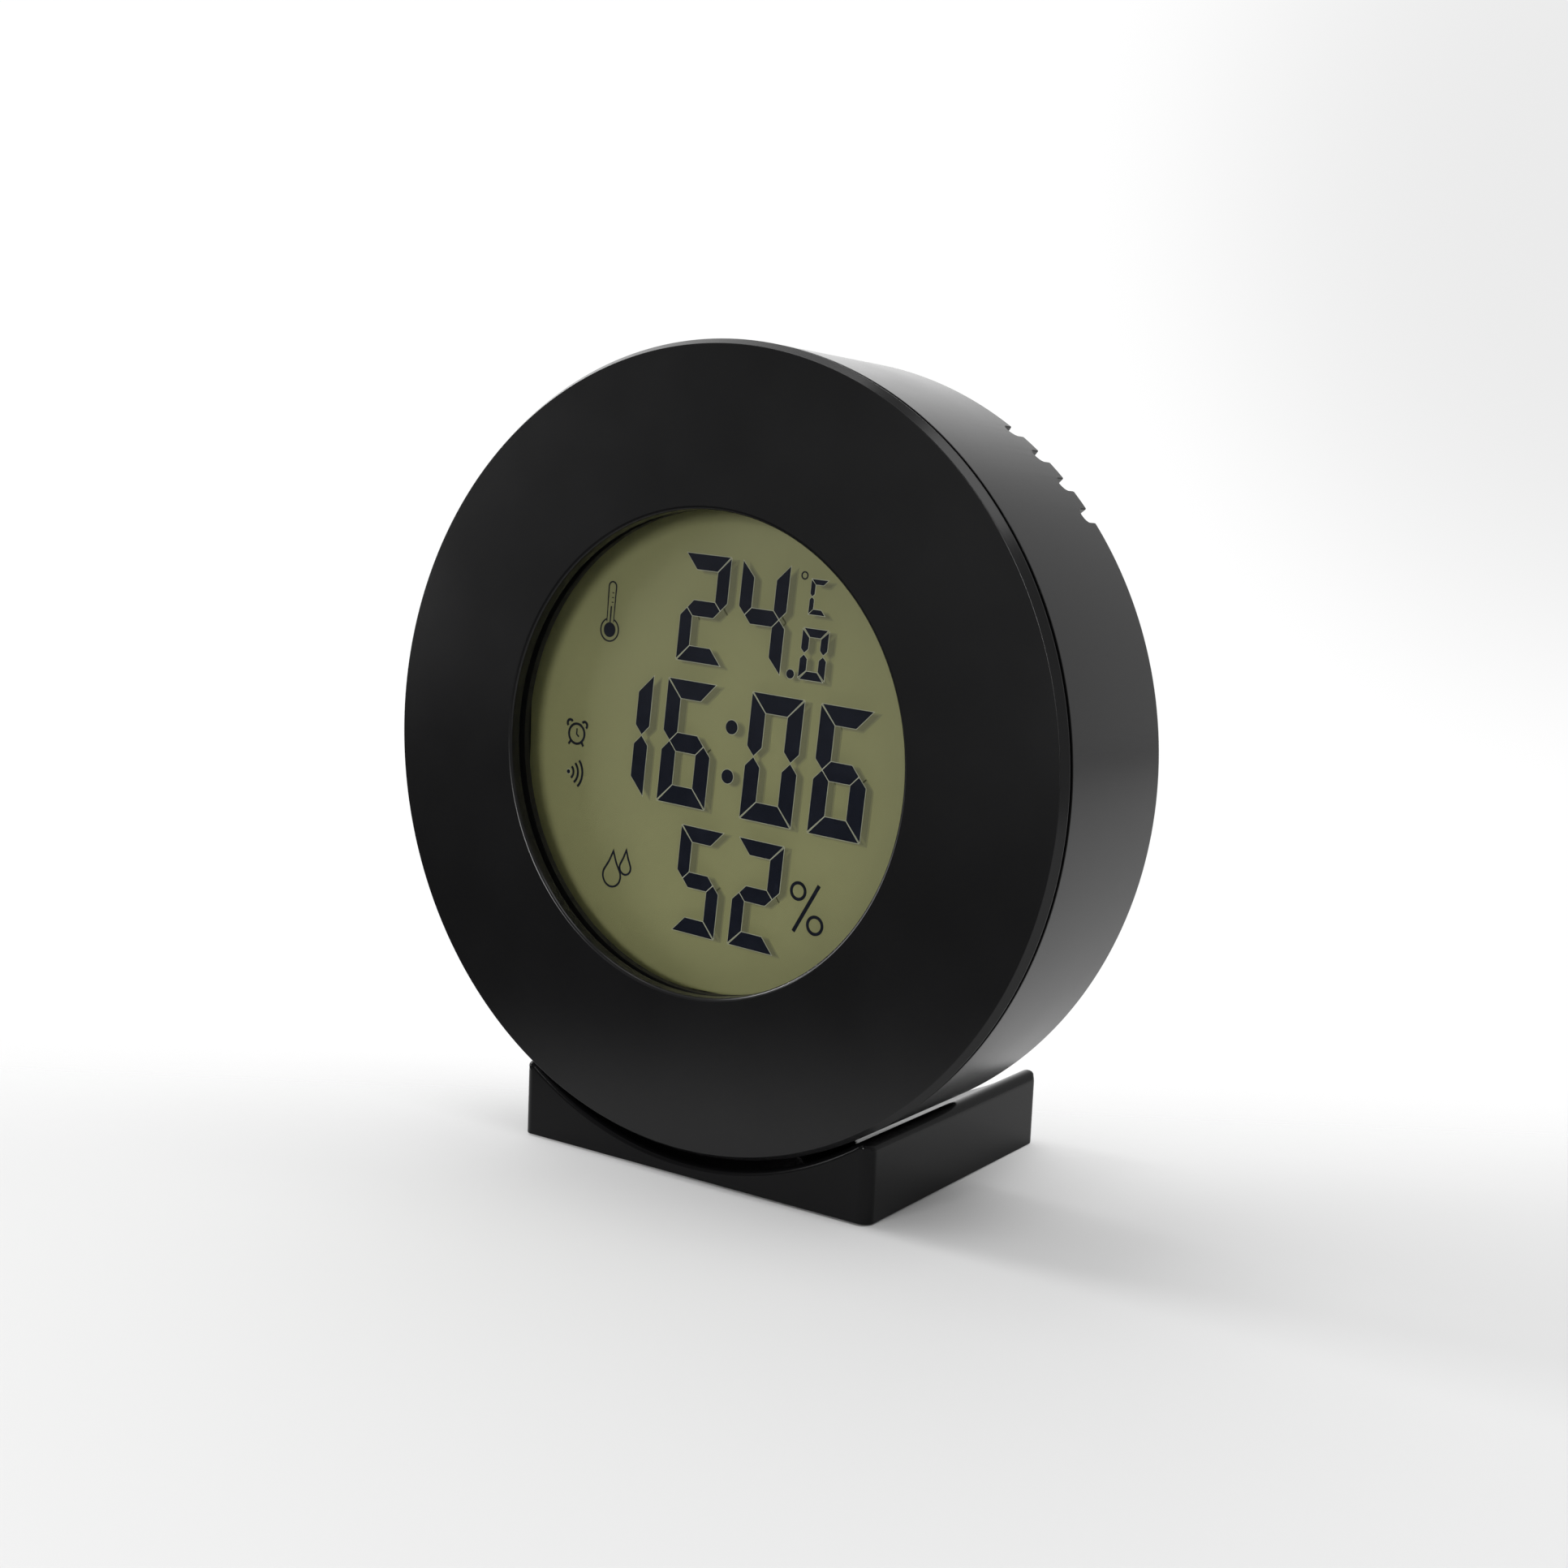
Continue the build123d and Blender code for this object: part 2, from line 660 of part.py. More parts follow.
    # pegs of the sensor board
    for side in (-1, 1):
        peg_radial = sensor_board_inner + sensor_peg_inset
        peg_across = side * (sensor_board_width / 2 - sensor_peg_inset)
        peg_x = peg_radial * cos(radians(sensor_angle)) - peg_across * sin(radians(sensor_angle))
        peg_z = peg_radial * sin(radians(sensor_angle)) + peg_across * cos(radians(sensor_angle))
        with BuildSketch(drum_plane(sensor_board_depth + sensor_board_thickness, peg_x, peg_z)):
            Circle(sensor_peg_radius)
        extrude_back(wall_inner - sensor_board_depth - sensor_board_thickness)
    # saddles of the antenna rod
    with BuildSketch(drum_plane(antenna_depth, 0, antenna_z)):
        with GridLocations(2 * saddle_offset, 0, 2, 1):
            Rectangle(saddle_width, 2 * saddle_half_height)
    extrude_back(wall_inner - antenna_depth)
    with BuildSketch(Plane.YZ.offset(-saddle_end - overrun)):
        with Locations((face_y + antenna_depth, axis_height + antenna_z)):
            Circle(antenna_radius + snug_gap)
    extrude(amount=2 * (saddle_end + overrun), mode=Mode.SUBTRACT)
    # posts for the screws that come up through the cradle
    post_top = axis_height - case_bore + base_post_height
    with BuildSketch(Plane.XY.offset(post_top)):
        with Locations((base_screw_offset, neck_y), (-base_screw_offset, neck_y)):
            Circle(base_post_radius)
    extrude(until=Until.NEXT, dir=(0, 0, -1))
    with BuildSketch(Plane.XY):
        with Locations((base_screw_offset, neck_y), (-base_screw_offset, neck_y)):
            Circle(base_screw_radius + screw_hole_fit)
    extrude(amount=post_top - snug_gap, mode=Mode.SUBTRACT)
    # radial vents that run out through the rim
    for angle in vent_angles:
        outward = (cos(radians(angle)), 0, sin(radians(angle)))
        vent_plane = Plane(
            origin=(
                vent_inner_radius * outward[0],
                face_y + body_depth,
                axis_height + vent_inner_radius * outward[2],
            ),
            x_dir=(-outward[2], 0, outward[0]),
            z_dir=outward,
        )
        straight = vent_depth - vent_width / 2
        with BuildSketch(vent_plane):
            with Locations((0, (straight - overrun) / 2)):
                Rectangle(vent_width, straight + overrun)
            with Locations((0, straight)):
                Circle(vent_width / 2)
        extrude(amount=case_radius - vent_inner_radius + overrun, mode=Mode.SUBTRACT)
rear_shell.part.label = "rear_shell"
export_step(rear_shell.part, "parts/rear_shell.step")

# Four screws that hold the shell to the bezel, deep in their wells
case_head_front = case_boss_end + well_floor
with BuildPart() as case_screws:
    with BuildSketch(drum_plane(case_head_front)):
        with Locations(*case_screw_places):
            Circle(case_screw_head_radius)
    extrude_back(case_screw_head_height)
    with BuildSketch(drum_plane(case_head_front - case_screw_length)):
        with Locations(*case_screw_places):
            Circle(case_screw_radius)
    extrude_back(case_screw_length)
    with BuildSketch(drum_plane(case_head_front + case_screw_head_height - drive_slot_depth)):
        with Locations(*case_screw_places):
            drive_cross(case_screw_head_radius)
    extrude_back(drive_slot_depth + overrun, mode=Mode.SUBTRACT)
case_screws.part.label = "case_screws"
export_step(case_screws.part, "parts/case_screws.step")

# Battery door: flush plate with two hooks at its lower edge and ribs over the cells
with BuildPart() as battery_door:
    with BuildSketch(drum_plane(door_inner, 0, bay_centre_z)):
        RectangleRounded(2 * door_half_width, 2 * door_half_height, door_corner)
    extrude_back(door_thickness)
    with BuildSketch(drum_plane(rib_front, 0, bay_centre_z)):
        with GridLocations(2 * door_rib_offset, 0, 2, 1):
            Rectangle(door_rib_width, 2 * (bay_half_height - hook_post - loose_gap))
    extrude_back(door_rib_height)
    hook_root = bay_centre_z - bay_half_height + slide_gap
    with BuildSketch(drum_plane(hook_front, 0, hook_root + hook_post / 2)):
        with GridLocations(2 * hook_offset, 0, 2, 1):
            Rectangle(hook_width, hook_post)
    extrude_back(door_inner - hook_front)
    with BuildSketch(drum_plane(hook_front, 0, hook_root - (slide_gap + hook_reach) / 2)):
        with GridLocations(2 * hook_offset, 0, 2, 1):
            Rectangle(hook_width, slide_gap + hook_reach)
    extrude_back(hook_thickness)
battery_door.part.label = "battery_door"
export_step(battery_door.part, "parts/battery_door.step")

# Two cells, side by side and end for end
for cell_name, level, facing in (("upper", 1, 1), ("lower", -1, -1)):
    cell_plane = Plane(
        origin=(
            facing * (contact_face - cell_length),
            face_y + cell_depth,
            axis_height + bay_centre_z + level * cell_pitch / 2,
        ),
        x_dir=(0, facing, 0),
        z_dir=(facing, 0, 0),
    )
    with BuildPart() as cell:
        with BuildSketch(cell_plane):
            Circle(cell_radius)
        extrude(amount=cell_body_length)
        with BuildSketch(cell_plane):
            Circle(cell_nub_radius)
        extrude(amount=cell_length)
    cell.part.label = "cell_" + cell_name
    export_step(cell.part, "parts/cell_" + cell_name + ".step")

# Battery contacts: a bridge at the left end, a pair with board tails at the right end
plate_bottom = bay_floor_back + slide_gap
plate_top = wall_inner - contact_back_gap


def leaf_profile(side, level):
    """Sketch of the bent leaf that bears on the flat end of a cell."""
    root_y = face_y + cell_depth - leaf_rise
    leaf_bottom = axis_height + bay_centre_z + level * cell_pitch / 2 - leaf_width / 2
    with BuildSketch(Plane.XY.offset(leaf_bottom)) as profile:
        with BuildLine():
            Polyline(
                (side * (contact_face + contact_thickness / 2), root_y),
                (side * (contact_face - contact_spring + contact_thickness), root_y + leaf_rise),
                (side * (contact_face - contact_spring / 2), root_y + 2 * leaf_rise),
            )
        trace(line_width=contact_thickness)
    return profile.sketch


with BuildPart() as contact_bridge:
    with BuildSketch(drum_plane(plate_bottom, -contact_face - contact_thickness / 2, bay_centre_z)):
        Rectangle(contact_thickness, cell_pitch + contact_width)
    extrude_back(plate_top - plate_bottom)
    extrude(leaf_profile(-1, 1), amount=leaf_width)
contact_bridge.part.label = "contact_bridge"
export_step(contact_bridge.part, "parts/contact_bridge.step")

with BuildPart() as contact_pair:
    with BuildSketch(drum_plane(plate_bottom, contact_face + contact_thickness / 2, bay_centre_z)):
        with GridLocations(0, cell_pitch, 1, 2):
            Rectangle(contact_thickness, contact_width)
    extrude_back(plate_top - plate_bottom)
    with BuildSketch(drum_plane(board_back, contact_face + contact_thickness / 2, bay_centre_z)):
        with GridLocations(0, cell_pitch, 1, 2):
            Rectangle(contact_thickness, contact_tail_width)
    extrude_back(plate_bottom - board_back)
    extrude(leaf_profile(1, -1), amount=leaf_width)
contact_pair.part.label = "contact_pair"
export_step(contact_pair.part, "parts/contact_pair.step")

# Sounder: a thin metal disc with a smaller ceramic disc on it
with BuildPart() as sounder_disc:
    with BuildSketch(drum_plane(wall_inner - sounder_chamber - sounder_plate, sounder_x, sounder_z)):
        Circle(sounder_radius)
    extrude_back(sounder_plate)
sounder_disc.part.label = "sounder_disc"
export_step(sounder_disc.part, "parts/sounder_disc.step")

sounder_ceramic_front = wall_inner - sounder_chamber - sounder_plate - sounder_crystal
with BuildPart() as sounder_ceramic:
    with BuildSketch(drum_plane(sounder_ceramic_front, sounder_x, sounder_z)):
        Circle(sounder_crystal_radius)
    extrude_back(sounder_crystal)
sounder_ceramic.part.label = "sounder_ceramic"
export_step(sounder_ceramic.part, "parts/sounder_ceramic.step")

# Sensor board on its pegs behind the vents, with the temperature and humidity sensor
sensor_outward = (cos(radians(sensor_angle)), 0, sin(radians(sensor_angle)))


def sensor_plane(depth):
    """Plane across the drum, turned so that its x runs outward past the vents."""
    return Plane(
        origin=(0, face_y + depth, axis_height), x_dir=sensor_outward, z_dir=(0, -1, 0)
    )


with BuildPart() as sensor_board:
    with BuildSketch(sensor_plane(sensor_board_depth)):
        with Locations((sensor_board_inner + sensor_board_length / 2, 0)):
            Rectangle(sensor_board_length, sensor_board_width)
    extrude_back(sensor_board_thickness)
sensor_board.part.label = "sensor_board"
export_step(sensor_board.part, "parts/sensor_board.step")

with BuildPart() as climate_sensor:
    with BuildSketch(sensor_plane(sensor_board_depth + sensor_board_thickness)):
        with Locations((sensor_board_outer - sensor_edge, 0)):
            Rectangle(sensor_size, sensor_size)
    extrude_back(sensor_height)
climate_sensor.part.label = "climate_sensor"
export_step(climate_sensor.part, "parts/climate_sensor.step")

# Antenna: a ferrite rod in its saddles, with the coil round its middle
with BuildPart() as antenna_rod:
    with BuildSketch(Plane.YZ.offset(-antenna_length / 2)):
        with Locations((face_y + antenna_depth, axis_height + antenna_z)):
            Circle(antenna_radius)
    extrude(amount=antenna_length)
antenna_rod.part.label = "antenna_rod"
export_step(antenna_rod.part, "parts/antenna_rod.step")

with BuildPart() as antenna_coil:
    with BuildSketch(Plane.YZ.offset(-coil_length / 2)):
        with Locations((face_y + antenna_depth, axis_height + antenna_z)):
            ring(coil_radius, antenna_radius)
    extrude(amount=coil_length)
antenna_coil.part.label = "antenna_coil"
export_step(antenna_coil.part, "parts/antenna_coil.step")

# Cradle: a block hollowed by an arc that comes closer to the drum at its tips, and the neck under the drum
pad_top = pad_thickness
head_top = pad_top + base_screw_head_height + snug_gap
screw_x_places = [(base_screw_offset, neck_y), (-base_screw_offset, neck_y)]
with BuildPart() as cradle:
    with BuildSketch(Plane.XZ.offset(-base_depth / 2)):
        with BuildLine():
            Line((-base_width / 2, tip_height), (-base_width / 2, pad_proud))
            Line((-base_width / 2, pad_proud), (base_width / 2, pad_proud))
            Line((base_width / 2, pad_proud), (base_width / 2, tip_height))
            ThreePointArc(
                (base_width / 2, tip_height), (0, pad_proud + base_floor), (-base_width / 2, tip_height)
            )
        base_profile = make_face()
        fillet(base_profile.vertices().group_by(Axis.Y)[-1], tip_rounding)
    extrude(amount=base_depth)
    cradle_ends = cradle.faces().filter_by(Axis.Y)
    rim_edges = cradle_ends.edges().filter_by(lambda edge: edge.center().Z > pad_proud + underside_chamfer)
    fillet(rim_edges, base_edge_rounding)
    chamfer(cradle.faces().sort_by(Axis.Z)[0].edges(), underside_chamfer)
    with BuildSketch(Plane.XY.offset(pad_proud + base_floor / 2)):
        with Locations((0, neck_y)):
            RectangleRounded(neck_width, neck_length, neck_corner)
    extrude(amount=tip_height - base_floor / 2)
    with BuildSketch(drum_plane(-overrun)):
        Circle(case_radius)
    extrude_back(body_depth + base_depth, mode=Mode.SUBTRACT)
    with BuildSketch(Plane.XY.offset(pad_top)):
        RectangleRounded(
            base_width - 2 * (pad_margin - slide_gap), base_depth - 2 * (pad_margin - slide_gap), pad_corner
        )
    extrude(amount=-pad_thickness, mode=Mode.SUBTRACT)
    with BuildSketch(Plane.XY):
        with Locations(*screw_x_places):
            Circle(base_screw_head_radius + slide_gap)
    extrude(amount=head_top, mode=Mode.SUBTRACT)
    with BuildSketch(Plane.XY):
        with Locations(*screw_x_places):
            Circle(base_screw_radius + slide_gap)
    extrude(amount=tip_height, mode=Mode.SUBTRACT)
cradle.part.label = "cradle"
export_step(cradle.part, "parts/cradle.step")

# Non-slip pad in the recess under the cradle
with BuildPart() as base_pad:
    with BuildSketch(Plane.XY):
        RectangleRounded(base_width - 2 * pad_margin, base_depth - 2 * pad_margin, pad_corner)
    extrude(amount=pad_thickness)
base_pad.part.label = "base_pad"
export_step(base_pad.part, "parts/base_pad.step")

# Two screws through the neck into the posts of the shell
with BuildPart() as base_screws:
    with BuildSketch(Plane.XY.offset(head_top - base_screw_head_height)):
        with Locations(*screw_x_places):
            Circle(base_screw_head_radius)
    extrude(amount=base_screw_head_height)
    with BuildSketch(Plane.XY.offset(head_top)):
        with Locations(*screw_x_places):
            Circle(base_screw_radius)
    extrude(amount=base_screw_length)
    with BuildSketch(Plane.XY.offset(head_top - base_screw_head_height)):
        with Locations(*screw_x_places):
            drive_cross(base_screw_head_radius)
    extrude(amount=drive_slot_depth, mode=Mode.SUBTRACT)
base_screws.part.label = "base_screws"
export_step(base_screws.part, "parts/base_screws.step")
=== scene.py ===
from math import atan2, cos, pi, radians, sin, sqrt

import bmesh
import bpy
from mathutils import Matrix, Vector


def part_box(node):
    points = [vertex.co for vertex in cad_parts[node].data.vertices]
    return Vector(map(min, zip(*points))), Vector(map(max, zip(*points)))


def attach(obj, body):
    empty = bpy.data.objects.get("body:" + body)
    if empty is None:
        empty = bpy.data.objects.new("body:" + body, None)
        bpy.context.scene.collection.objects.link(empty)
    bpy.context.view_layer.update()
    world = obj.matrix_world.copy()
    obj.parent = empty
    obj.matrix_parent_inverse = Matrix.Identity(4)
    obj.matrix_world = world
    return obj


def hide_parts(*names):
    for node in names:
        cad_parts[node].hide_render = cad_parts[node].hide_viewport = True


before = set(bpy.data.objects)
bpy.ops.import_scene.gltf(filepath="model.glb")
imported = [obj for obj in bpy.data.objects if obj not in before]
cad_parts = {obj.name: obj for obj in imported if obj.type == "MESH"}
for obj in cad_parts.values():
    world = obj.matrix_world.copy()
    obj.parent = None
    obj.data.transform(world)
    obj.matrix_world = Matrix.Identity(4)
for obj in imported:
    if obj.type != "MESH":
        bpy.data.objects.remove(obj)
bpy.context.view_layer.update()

# Sizes of the pieces are millimetres, those of the stage and the lamps metres.
# A depth is counted from the face towards the back, and x and z on the drum are
# counted from its axis, seen from the front.
MM = 0.001
bezel_low, bezel_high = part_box("front_bezel")
FACE_Y = bezel_low.y / MM
AXIS_Z = (bezel_low.z + bezel_high.z) / 2 / MM
CASE_R = (bezel_high.x - bezel_low.x) / 2 / MM

SEGMENTS = 256
ROUND_SEGMENTS = 48
SHARP_ANGLE = 32.0
MERGE_DISTANCE = 1e-7
SLIVER = 1e-4
CLEAR = 0.001


def drum(x, z, depth):
    """Point in the row frame, in millimetres, of a place on the drum."""
    return (x, FACE_Y + depth, AXIS_Z + z)


def turns(count):
    """Angles of a full turn in equal steps."""
    return [2 * pi * k / count for k in range(count)]


def middle_of(name):
    """Middle of a node on the drum, seen from the front."""
    low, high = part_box(name)
    return ((low.x + high.x) / 2 / MM, (low.z + high.z) / 2 / MM - AXIS_Z)


# Shapes
class Shape:
    """Collects vertices and faces of one piece."""

    def __init__(self):
        self.points = []
        self.faces = []
        self.marks = []
        self.mark = 0

    def ring(self, points):
        first = len(self.points)
        self.points.extend(points)
        return list(range(first, first + len(points)))

    def face(self, indices):
        self.faces.append(indices)
        self.marks.append(self.mark)

    def skin(self, a, b):
        count = len(a)
        for i in range(count):
            j = (i + 1) % count
            self.face([a[i], a[j], b[j], b[i]])

    def close(self, rings, loop):
        """Joins the last ring to the first, or closes both with a face."""
        if loop:
            self.skin(rings[-1], rings[0])
        else:
            self.face(list(reversed(rings[0])))
            self.face(rings[-1])

    def stack(self, rings, loop=False):
        made = [self.ring(r) for r in rings]
        for a, b in zip(made, made[1:]):
            self.skin(a, b)
        self.close(made, loop)

    def lathe(self, profile, centre=(0, 0), loop=True, segments=SEGMENTS):
        """Turns a profile of (radius, depth) round an axis across the drum."""
        x, z = centre
        angles = turns(segments)
        rings = [[drum(x + r * cos(t), z + r * sin(t), depth) for t in angles] for r, depth in profile]
        self.stack(rings, loop)

    def object(self, name, materials):
        mesh = bpy.data.meshes.new(name)
        mesh.from_pydata([tuple(c * MM for c in p) for p in self.points], [], self.faces)
        for material in materials:
            mesh.materials.append(material)
        mesh.polygons.foreach_set("material_index", self.marks)
        mesh.validate()
        obj = bpy.data.objects.new(name, mesh)
        bpy.context.scene.collection.objects.link(obj)
        face_outwards(obj)
        shade(obj)
        return obj


def face_outwards(obj):
    """Merges points in one place and points every face outwards."""
    bm = bmesh.new()
    bm.from_mesh(obj.data)
    bmesh.ops.remove_doubles(bm, verts=bm.verts, dist=MERGE_DISTANCE)
    bmesh.ops.recalc_face_normals(bm, faces=bm.faces)
    bm.to_mesh(obj.data)
    bm.free()


def shade(obj):
    """Smooth shading that breaks at sharp edges and keeps flats flat."""
    obj.data.polygons.foreach_set("use_smooth", [True] * len(obj.data.polygons))
    obj.data.set_sharp_from_angle(angle=radians(SHARP_ANGLE))
    weighted = obj.modifiers.new("even_flats", "WEIGHTED_NORMAL")
    weighted.keep_sharp = True
    weighted.weight = 100


def cut(obj, shape):
    """Takes a shape away from a piece and keeps the result as its mesh."""
    tool = shape.object(obj.name + "_cutter", [])
    obj.modifiers.clear()
    tool.modifiers.clear()
    step = obj.modifiers.new("cut", "BOOLEAN")
    step.operation = "DIFFERENCE"
    step.solver = "EXACT"
    step.object = tool
    bpy.context.view_layer.update()
    made = bpy.data.meshes.new_from_object(obj.evaluated_get(bpy.context.evaluated_depsgraph_get()))
    obj.modifiers.clear()
    old = obj.data
    name = old.name
    obj.data = made
    bpy.data.meshes.remove(old)
    made.name = name
    bpy.data.objects.remove(tool)
    shade(obj)


def rounded(points, radii, steps, closed=True):
    """Corner points with each corner replaced by an arc of its radius."""
    out = []
    count = len(points)
    for i, (point, radius) in enumerate(zip(points, radii)):
        if radius <= 0 or (not closed and i in (0, count - 1)):
            out.append(tuple(point))
            continue
        p = Vector(point)
        a = (Vector(points[i - 1]) - p).normalized()
        b = (Vector(points[(i + 1) % count]) - p).normalized()
        half = a.angle(b) / 2
        reach = radius / (sin(half) / cos(half))
        centre = p + (a + b).normalized() * (radius / sin(half))
        start = p + a * reach - centre
        end = p + b * reach - centre
        t0 = atan2(start.y, start.x)
        sweep = atan2(start.x * end.y - start.y * end.x, start.dot(end))
        for k in range(steps + 1):
            t = t0 + sweep * k / steps
            out.append((centre.x + radius * cos(t), centre.y + radius * sin(t)))
    return out


def oblong(width, height, radius, steps=8):
    """Rounded rectangle round the origin, anticlockwise."""
    radius = min(radius, width / 2 - SLIVER, height / 2 - SLIVER)
    w = width / 2
    h = height / 2
    return rounded([(-w, -h), (w, -h), (w, h), (-w, h)], [radius] * 4, steps)


def pocket(shape, x, z, width, height, radius, levels, steps=8):
    """Rounded block across the drum. Each level is a depth and how far the outline grows there."""
    rings = []
    for depth, grow in levels:
        outline = oblong(width + 2 * grow, height + 2 * grow, radius + grow, steps)
        rings.append([drum(x + px, z + pz, depth) for px, pz in outline])
    shape.stack(rings)


def hole(shape, x, z, radius, levels, segments=ROUND_SEGMENTS):
    """Round block across the drum, with the same kind of levels."""
    rings = []
    for depth, grow in levels:
        r = radius + grow
        rings.append([drum(x + r * cos(t), z + r * sin(t), depth) for t in turns(segments)])
    shape.stack(rings)


def tube(shape, x, z, profile):
    shape.lathe(profile, (x, z), segments=ROUND_SEGMENTS)


# Materials
ROUGHNESS_NOISE = (0.3, 0.7)
COLOUR_NOISE = (0.35, 0.65)


def new_material(name, colour, roughness, **settings):
    material = bpy.data.materials.new(name)
    material.use_nodes = True
    shader = material.node_tree.nodes["Principled BSDF"]
    shader.inputs["Base Color"].default_value = (*colour, 1)
    shader.inputs["Roughness"].default_value = roughness
    for key, value in settings.items():
        shader.inputs[key.replace("_", " ")].default_value = value
    return material


def node(material, kind, **settings):
    made = material.node_tree.nodes.new(kind)
    for key, value in settings.items():
        setattr(made, key, value)
    return made


def link(material, a, b):
    material.node_tree.links.new(a, b)


def object_noise(material, scale, detail, stretch):
    """Noise in the piece's own coordinates."""
    where = node(material, "ShaderNodeTexCoord")
    noise = node(material, "ShaderNodeTexNoise")
    noise.inputs["Scale"].default_value = scale
    noise.inputs["Detail"].default_value = detail
    if stretch:
        mapping = node(material, "ShaderNodeMapping")
        mapping.inputs["Scale"].default_value = stretch
        link(material, where.outputs["Object"], mapping.inputs["Vector"])
        link(material, mapping.outputs["Vector"], noise.inputs["Vector"])
    else:
        link(material, where.outputs["Object"], noise.inputs["Vector"])
    return noise


def grain(material, scale, height, stretch=None):
    """Fine relief of a moulded or brushed surface. The height is in metres."""
    shader = material.node_tree.nodes["Principled BSDF"]
    noise = object_noise(material, scale, 3.0, stretch)
    bump = node(material, "ShaderNodeBump")
    bump.inputs["Strength"].default_value = 1.0
    bump.inputs["Distance"].default_value = height
    link(material, noise.outputs["Fac"], bump.inputs["Height"])
    link(material, bump.outputs["Normal"], shader.inputs["Normal"])


def vary_roughness(material, scale, low, high, stretch=None):
    shader = material.node_tree.nodes["Principled BSDF"]
    noise = object_noise(material, scale, 4.0, stretch)
    spread = node(material, "ShaderNodeMapRange")
    spread.inputs["From Min"].default_value = ROUGHNESS_NOISE[0]
    spread.inputs["From Max"].default_value = ROUGHNESS_NOISE[1]
    spread.inputs["To Min"].default_value = low
    spread.inputs["To Max"].default_value = high
    link(material, noise.outputs["Fac"], spread.inputs["Value"])
    link(material, spread.outputs["Result"], shader.inputs["Roughness"])


def vary_colour(material, scale, dark, light, detail=4.0, stretch=None):
    shader = material.node_tree.nodes["Principled BSDF"]
    noise = object_noise(material, scale, detail, stretch)
    ramp = node(material, "ShaderNodeValToRGB")
    for element, position, colour in zip(ramp.color_ramp.elements, COLOUR_NOISE, (dark, light)):
        element.position = position
        element.color = (*colour, 1)
    link(material, noise.outputs["Fac"], ramp.inputs["Fac"])
    link(material, ramp.outputs["Color"], shader.inputs["Base Color"])


def moulded(name, colour, rough_low, rough_high, relief=1.2e-6, gloss=0.3):
    material = new_material(name, colour, (rough_low + rough_high) / 2, Specular_IOR_Level=gloss)
    light = tuple(c * 1.15 for c in colour)
    vary_colour(material, 90, colour, light)
    vary_roughness(material, 60, rough_low, rough_high)
    grain(material, 5200, relief)
    return material


def metal(name, colour, rough_low, rough_high, stretch=None, relief=4e-6):
    material = new_material(name, colour, (rough_low + rough_high) / 2, Metallic=1.0)
    vary_roughness(material, 800, rough_low, rough_high, stretch)
    grain(material, 3000, relief, stretch)
    return material


def film(name, colour, spread=0.02):
    """Satin film whose colour changes faintly from place to place."""
    material = new_material(name, colour, 0.5)
    dark = tuple(c * (1 - spread) for c in colour)
    light = tuple(c * (1 + spread) for c in colour)
    vary_colour(material, 55, dark, light)
    return material


case_black = moulded("case_black", (0.006, 0.006, 0.0063), 0.2, 0.24)
cradle_black = moulded("cradle_black", (0.003, 0.003, 0.0033), 0.17, 0.21, gloss=0.14)
inside_black = moulded("inside_black", (0.006, 0.006, 0.006), 0.5, 0.6)
button_black = moulded("button_black", (0.012, 0.012, 0.012), 0.5, 0.6, 4e-6)
switch_black = moulded("switch_black", (0.014, 0.014, 0.014), 0.45, 0.55)
frame_black = moulded("frame_black", (0.006, 0.006, 0.006), 0.45, 0.55)
sensor_white = moulded("sensor_white", (0.68, 0.68, 0.66), 0.35, 0.45)

pad_rubber = new_material("pad_rubber", (0.013, 0.013, 0.013), 0.8)
vary_colour(pad_rubber, 700, (0.010, 0.010, 0.010), (0.020, 0.020, 0.020))
grain(pad_rubber, 1500, 3e-5)

contact_rubber = new_material("contact_rubber", (0.25, 0.25, 0.24), 0.6)
vary_colour(contact_rubber, 9000, (0.05, 0.05, 0.05), (0.45, 0.45, 0.42), 1.0, (1, 0.01, 0.01))

board_green = new_material("board_green", (0.01, 0.1, 0.03), 0.3, Coat_Weight=0.5, Coat_Roughness=0.15)
vary_colour(board_green, 420, (0.008, 0.075, 0.022), (0.02, 0.16, 0.05), 6.0)
grain(board_green, 900, 1e-5)

chip_resin = new_material("chip_resin", (0.008, 0.008, 0.008), 0.12)
vary_roughness(chip_resin, 300, 0.08, 0.2)
grain(chip_resin, 250, 6e-5)

can_metal = metal("can_metal", (0.62, 0.62, 0.64), 0.18, 0.3)
screw_steel = metal("screw_steel", (0.52, 0.52, 0.54), 0.25, 0.4)
contact_nickel = metal("contact_nickel", (0.62, 0.6, 0.56), 0.2, 0.32, (1, 0.05, 1))
sounder_brass = metal("sounder_brass", (0.66, 0.48, 0.18), 0.25, 0.38)
coil_copper = metal("coil_copper", (0.6, 0.22, 0.07), 0.3, 0.4, (8, 0.02, 0.02), 6e-5)

sounder_white = new_material("sounder_white", (0.75, 0.74, 0.7), 0.3, Metallic=0.4)
vary_roughness(sounder_white, 500, 0.25, 0.45)
ferrite_grey = new_material("ferrite_grey", (0.04, 0.04, 0.045), 0.55)
vary_colour(ferrite_grey, 1500, (0.03, 0.03, 0.034), (0.06, 0.06, 0.065))
grain(ferrite_grey, 2500, 1e-5)

cell_jacket = new_material("cell_jacket", (0.02, 0.03, 0.05), 0.3, Coat_Weight=0.4, Coat_Roughness=0.2)
vary_roughness(cell_jacket, 300, 0.24, 0.36)
grain(cell_jacket, 700, 6e-6)
cell_band = new_material("cell_band", (0.5, 0.27, 0.12), 0.3, Metallic=0.8)
vary_roughness(cell_band, 300, 0.22, 0.36)

